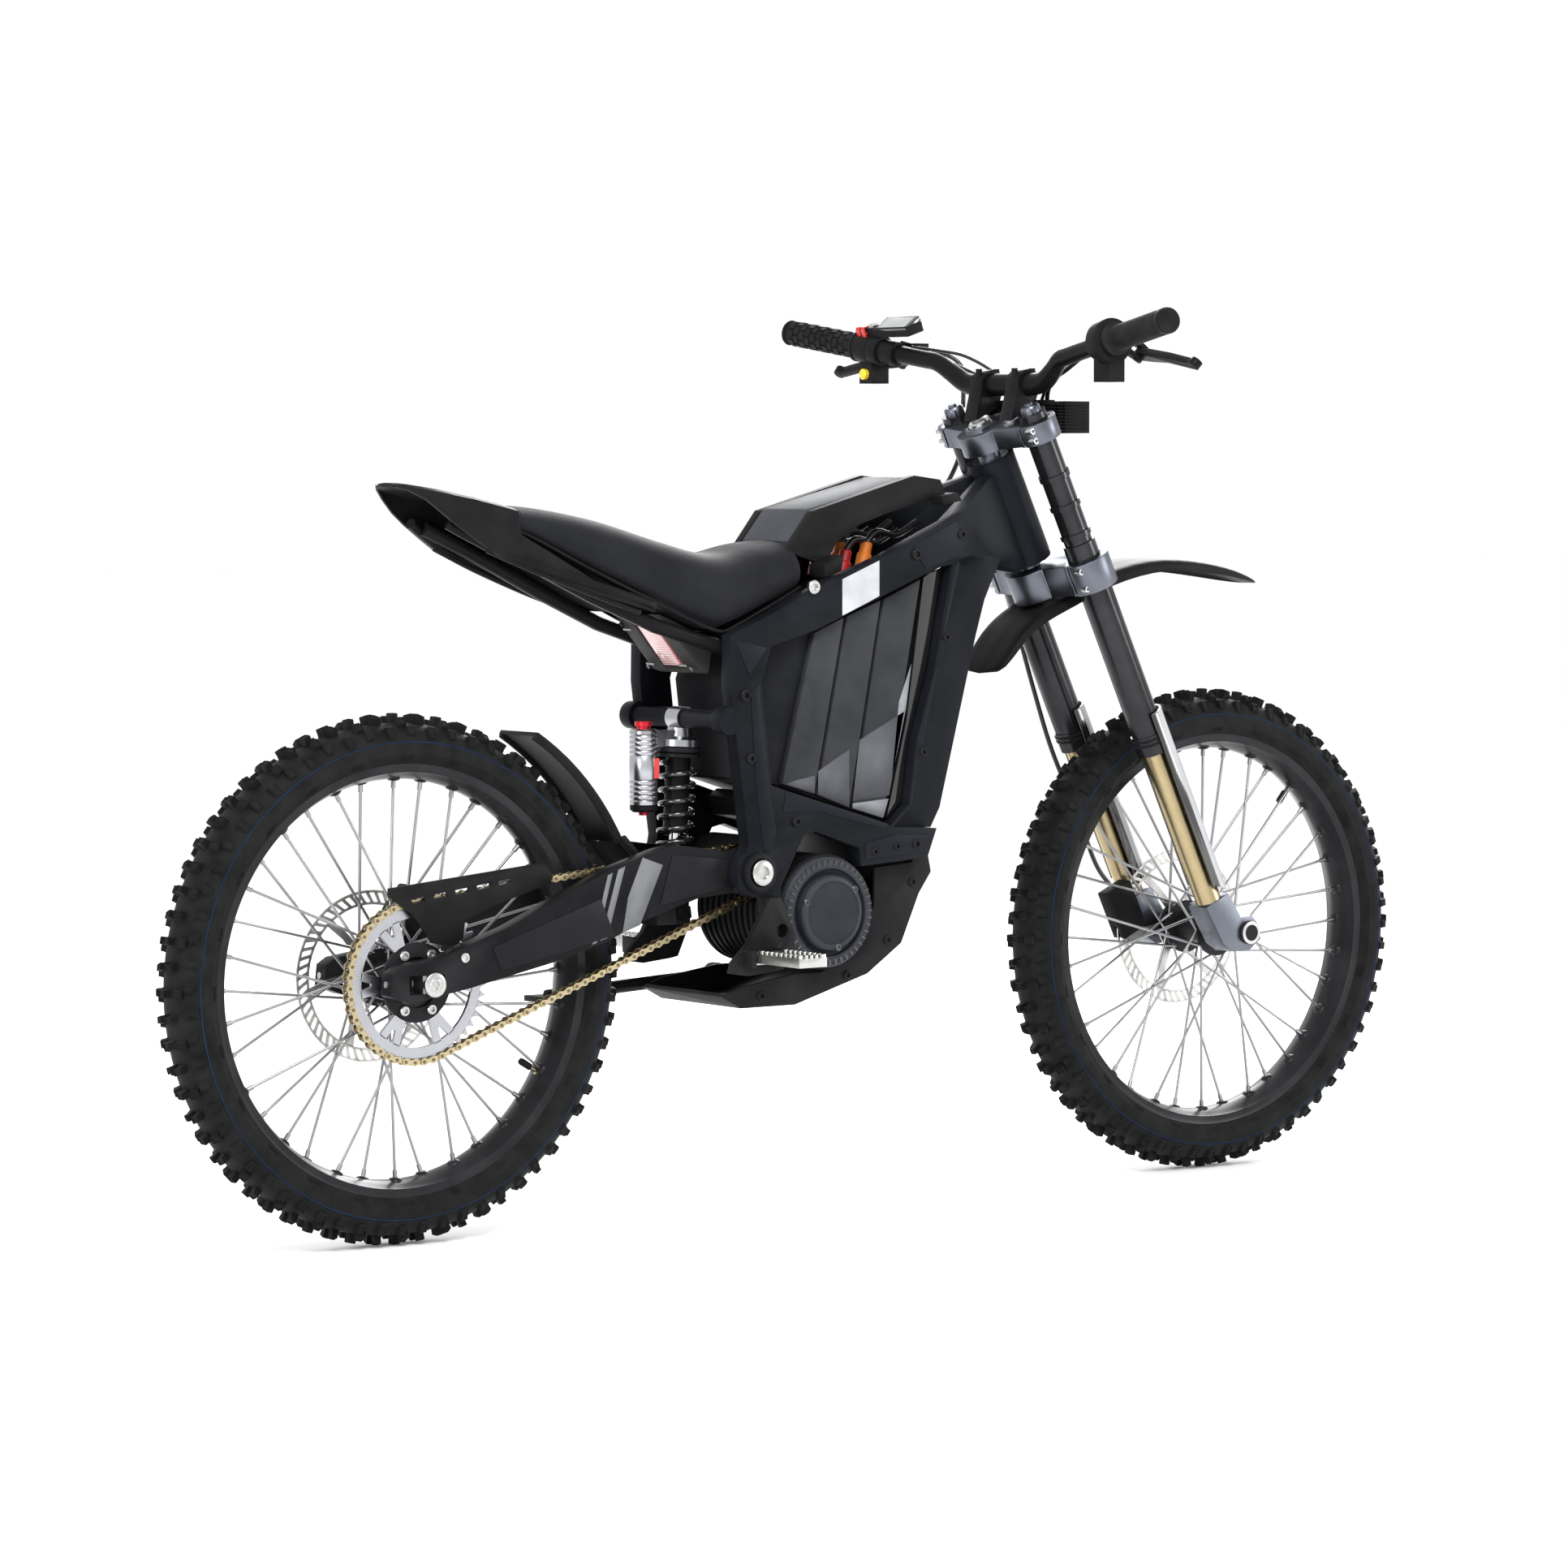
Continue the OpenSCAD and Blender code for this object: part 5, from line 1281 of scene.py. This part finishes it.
def build_controls():
    bm = bmesh.new()
    tilt = Matrix.Rotation(math.radians(-20), 4, "Y")
    upright = Matrix.Identity(4)
    for x, y, z, size, lean, kind in (
            (0, 184, 6.6, (27, 66, 7), tilt, 0), (-1, 183, 6.6, (21, 54, 7.8), tilt, 1),
            (3, 224, 7.4, (9, 5, 1.6), upright, 0), (-5, 224, 7.4, (5, 5, 1.6), upright, 2)):
        place, size = in_pod(x, y, z, size)
        box(bm, (0, 0, 0), size, place @ lean, kind)
    bevelled(0.0003, "display", bm, "gloss_black screen grip", "steering", "switch_black")
    for name, y in (("power_button", 247.5), ("mode_button", 237.5)):
        bm = bmesh.new()
        # Cap, stem and top lip
        for x, z, size in ((-16.2, 1.5, (2.6, 7.6, 12)), (-11.5, 0, (7, 4.8, 4.8)),
                           (-12, 8.4, (9, 7.6, 2.2))):
            place, size = in_pod(x, y, z, size)
            box(bm, (0, 0, 0), size, place)
        bevelled(0.0008, name + "_cap", bm, "red", NODE_BODY[name], "button_red", name)
    bm = bmesh.new()
    lathe(bm, [(0.0, 0.006), (0.0070, 0.006), (0.0070, -0.0008), (0.0055, -0.0022), (0.0, -0.0026)],
          at(872, 243.5, 1028), (1, 0, 0), 32)
    piece("horn_cap", bm, "yellow", 40, "button_horn", "button_yellow", "horn_button")


build_controls()


def build_headlight():
    soften("headlight", 0.004)
    bm = bmesh.new()
    low, high = (Vector(v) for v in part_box("headlight"))
    middle, size = (low + high) / 2, high - low
    for k in range(9):
        z = low.z + 0.004 + (size.z - 0.008) * k / 8
        box(bm, (middle.x - 0.002, 0, z), (size.x - 0.012, size.y + 0.003, 0.0016))
    for k in range(15):
        y = low.y + 0.006 + (size.y - 0.012) * k / 14
        box(bm, (low.x + 0.012, y, middle.z), (0.020, 0.0016, size.z + 0.003))
    piece("lamp_fins", bm, "cast", 0, "steering", "lamp_black")
    bm = bmesh.new()
    for k in range(-1, 2):
        lathe(bm, [(0.0, 0.0), (0.0095, 0.0), (0.0095, 0.0012), (0.0, 0.0032)],
              at(1001.2, 31 * k, 971), (1, 0, 0), 28)
    piece("lamp_lenses", bm, "lamp_glass", 40, "steering", "lamp_black")
    bm = bmesh.new()
    for side in (-1, 1):
        for radius, points in (
                (0.0028, ((952, 34, 990), (944, 46, 1004), (934, 70, 1020), (922, 108, 1036),
                          (906, 150, 1052), (893, 190, 1062))),
                (0.0022, ((952, 22, 990), (948, 38, 1010), (940, 66, 1032), (928, 104, 1050),
                          (914, 140, 1057), (899, 176, 1062)))):
            tube(bm, bike_route(*((x, side * y, z) for x, y, z in points)), radius, 10)
    piece("bar_cables", bm, "hose", 60, "steering", "hose_rubber")


build_headlight()

FRONT_HOSE = [(921, -168, 1054), (932, -142, 1052), (946, -100, 1040), (950, -60, 1024), (950, -20, 1016),
              (950, 30, 1012), (956, 72, 1003), (967, 106, 982), (967, 121, 894), (986, 120, 815),
              (1000, 117, 766), (1023, 113, 699), (1046, 108, 622), (1066, 96, 545), (1088, 72, 465),
              (1107, 56, 398), (1124, 48, 370)]
REAR_HOSE = [(921, 168, 1054), (932, 146, 1052), (944, 130, 1036), (944, 126, 1000), (938, 122, 960),
             (930, 116, 925), (912, 108, 900), (890, 96, 884), (868, 80, 882), (850, 68, 884)]


def build_hoses():
    for name, route, other, start, end, nodes in (
            ("front_hose", FRONT_HOSE, "fork_lower", in_fork(0, 0.09, 0.600), in_fork(-0.02, 0.06, 0.450),
             ("brake_hoses",)),
            ("rear_hose", REAR_HOSE, "chassis", at(944, 128, 1010), at(862, 76, 883), ())):
        bm = bmesh.new()
        tube(bm, bike_route(*route), 0.003, 14)
        obj = new_object(name, bm, [M["hose"]], smooth=60)
        if nodes:
            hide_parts(*nodes)
        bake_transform(obj)


build_hoses()


def build_tail_lamp():
    bm = bmesh.new()
    slab(bm, [(355, 727.5), (401, 671), (404, 673), (358, 729.5)], -23.5, 23.5, 1)
    slab(bm, [(353.5, 726), (399.5, 669.5), (401.5, 671.2), (355.5, 727.7)], -18, 18)
    bevelled(0.0008, "lamp_window", bm, "lens red", "chassis", "lens", "tail_light_lens")
    bm = bmesh.new()
    face = Matrix.Rotation(math.radians(-39), 4, "Y")
    for side in (-1, 1):
        for x, z in ((360, 716), (394, 674)):
            box(bm, at(x - 3, side * 34, z - 3.2), (0.0012, 0.016, 0.003), face, 0)
        for x, z in ((357, 720), (398, 669)):
            bolt_head(bm, at(x - 1.5, side * 45, z - 1.5), (-0.78, 0, -0.62), 0.003, 0.0018)
    piece("lamp_panel_trim", bm, "gloss_black", 40, "chassis", "black_plastic")


build_tail_lamp()


# ---- CAD nodes that are shown as they are ----

for node_name, node_object in frame["nodes"].items():
    node_object.data.materials.clear()
    node_object.data.materials.append(M[SLOT_MATERIAL[NODE_SLOT[node_name]]])


# ---- floor, light and camera ----

def area_light(name, place, target, size, power):
    light = bpy.data.lights.new(name, "AREA")
    light.energy = power
    light.shape = "SQUARE"
    light.size = size
    obj = bpy.data.objects.new(name, light)
    obj.location = place
    obj.rotation_euler = (Vector(target) - Vector(place)).to_track_quat("-Z", "Y").to_euler()
    bpy.context.scene.collection.objects.link(obj)


def build_stage():
    bm = bmesh.new()
    bmesh.ops.create_grid(bm, x_segments=1, y_segments=1, size=40)
    mat, tree, bsdf = shader("floor_paper", (0.97, 0.97, 0.97), 0.9)
    vary(tree, bsdf, (0.97, 0.97, 0.97), 0.9, spread=0.01)
    floor = new_object("floor", bm, [mat], smooth=0)
    world = bpy.data.worlds.new("studio")
    bpy.context.scene.world = world
    world.use_nodes = True
    world.node_tree.nodes["Background"].inputs["Color"].default_value = (1, 1, 1, 1)
    world.node_tree.nodes["Background"].inputs["Strength"].default_value = 1.03
    area_light("key", (-1.6, -2.6, 3.4), (0, 0, 0.5), 1.6, 120)
    area_light("side", (-4.2, -1.2, 1.2), (0, 0, 0.5), 1.2, 50)
    area_light("rim", (2.6, 2.4, 2.4), (0, 0, 0.6), 2.0, 110)
    area_light("front", (3.2, -2.6, 1.4), (0.4, 0, 0.5), 1.2, 45)


def build_camera():
    azimuth, elevation = math.radians(-36.3185), math.radians(3.2302)
    back = Vector((math.sin(azimuth) * math.cos(elevation), -math.cos(azimuth) * math.cos(elevation),
                   math.sin(elevation)))
    camera = bpy.data.objects.new("camera", bpy.data.cameras.new("camera"))
    camera.data.lens = 127.54
    camera.data.sensor_width = 36
    camera.location = (-4.0782, -5.4765, 0.9042)
    camera.rotation_euler = (-back).to_track_quat("-Z", "Y").to_euler()
    camera.data.clip_end = 100
    bpy.context.scene.collection.objects.link(camera)
    bpy.context.scene.camera = camera


build_stage()
build_camera()

view_settings = bpy.context.scene.view_settings
view_settings.view_transform = "Standard"
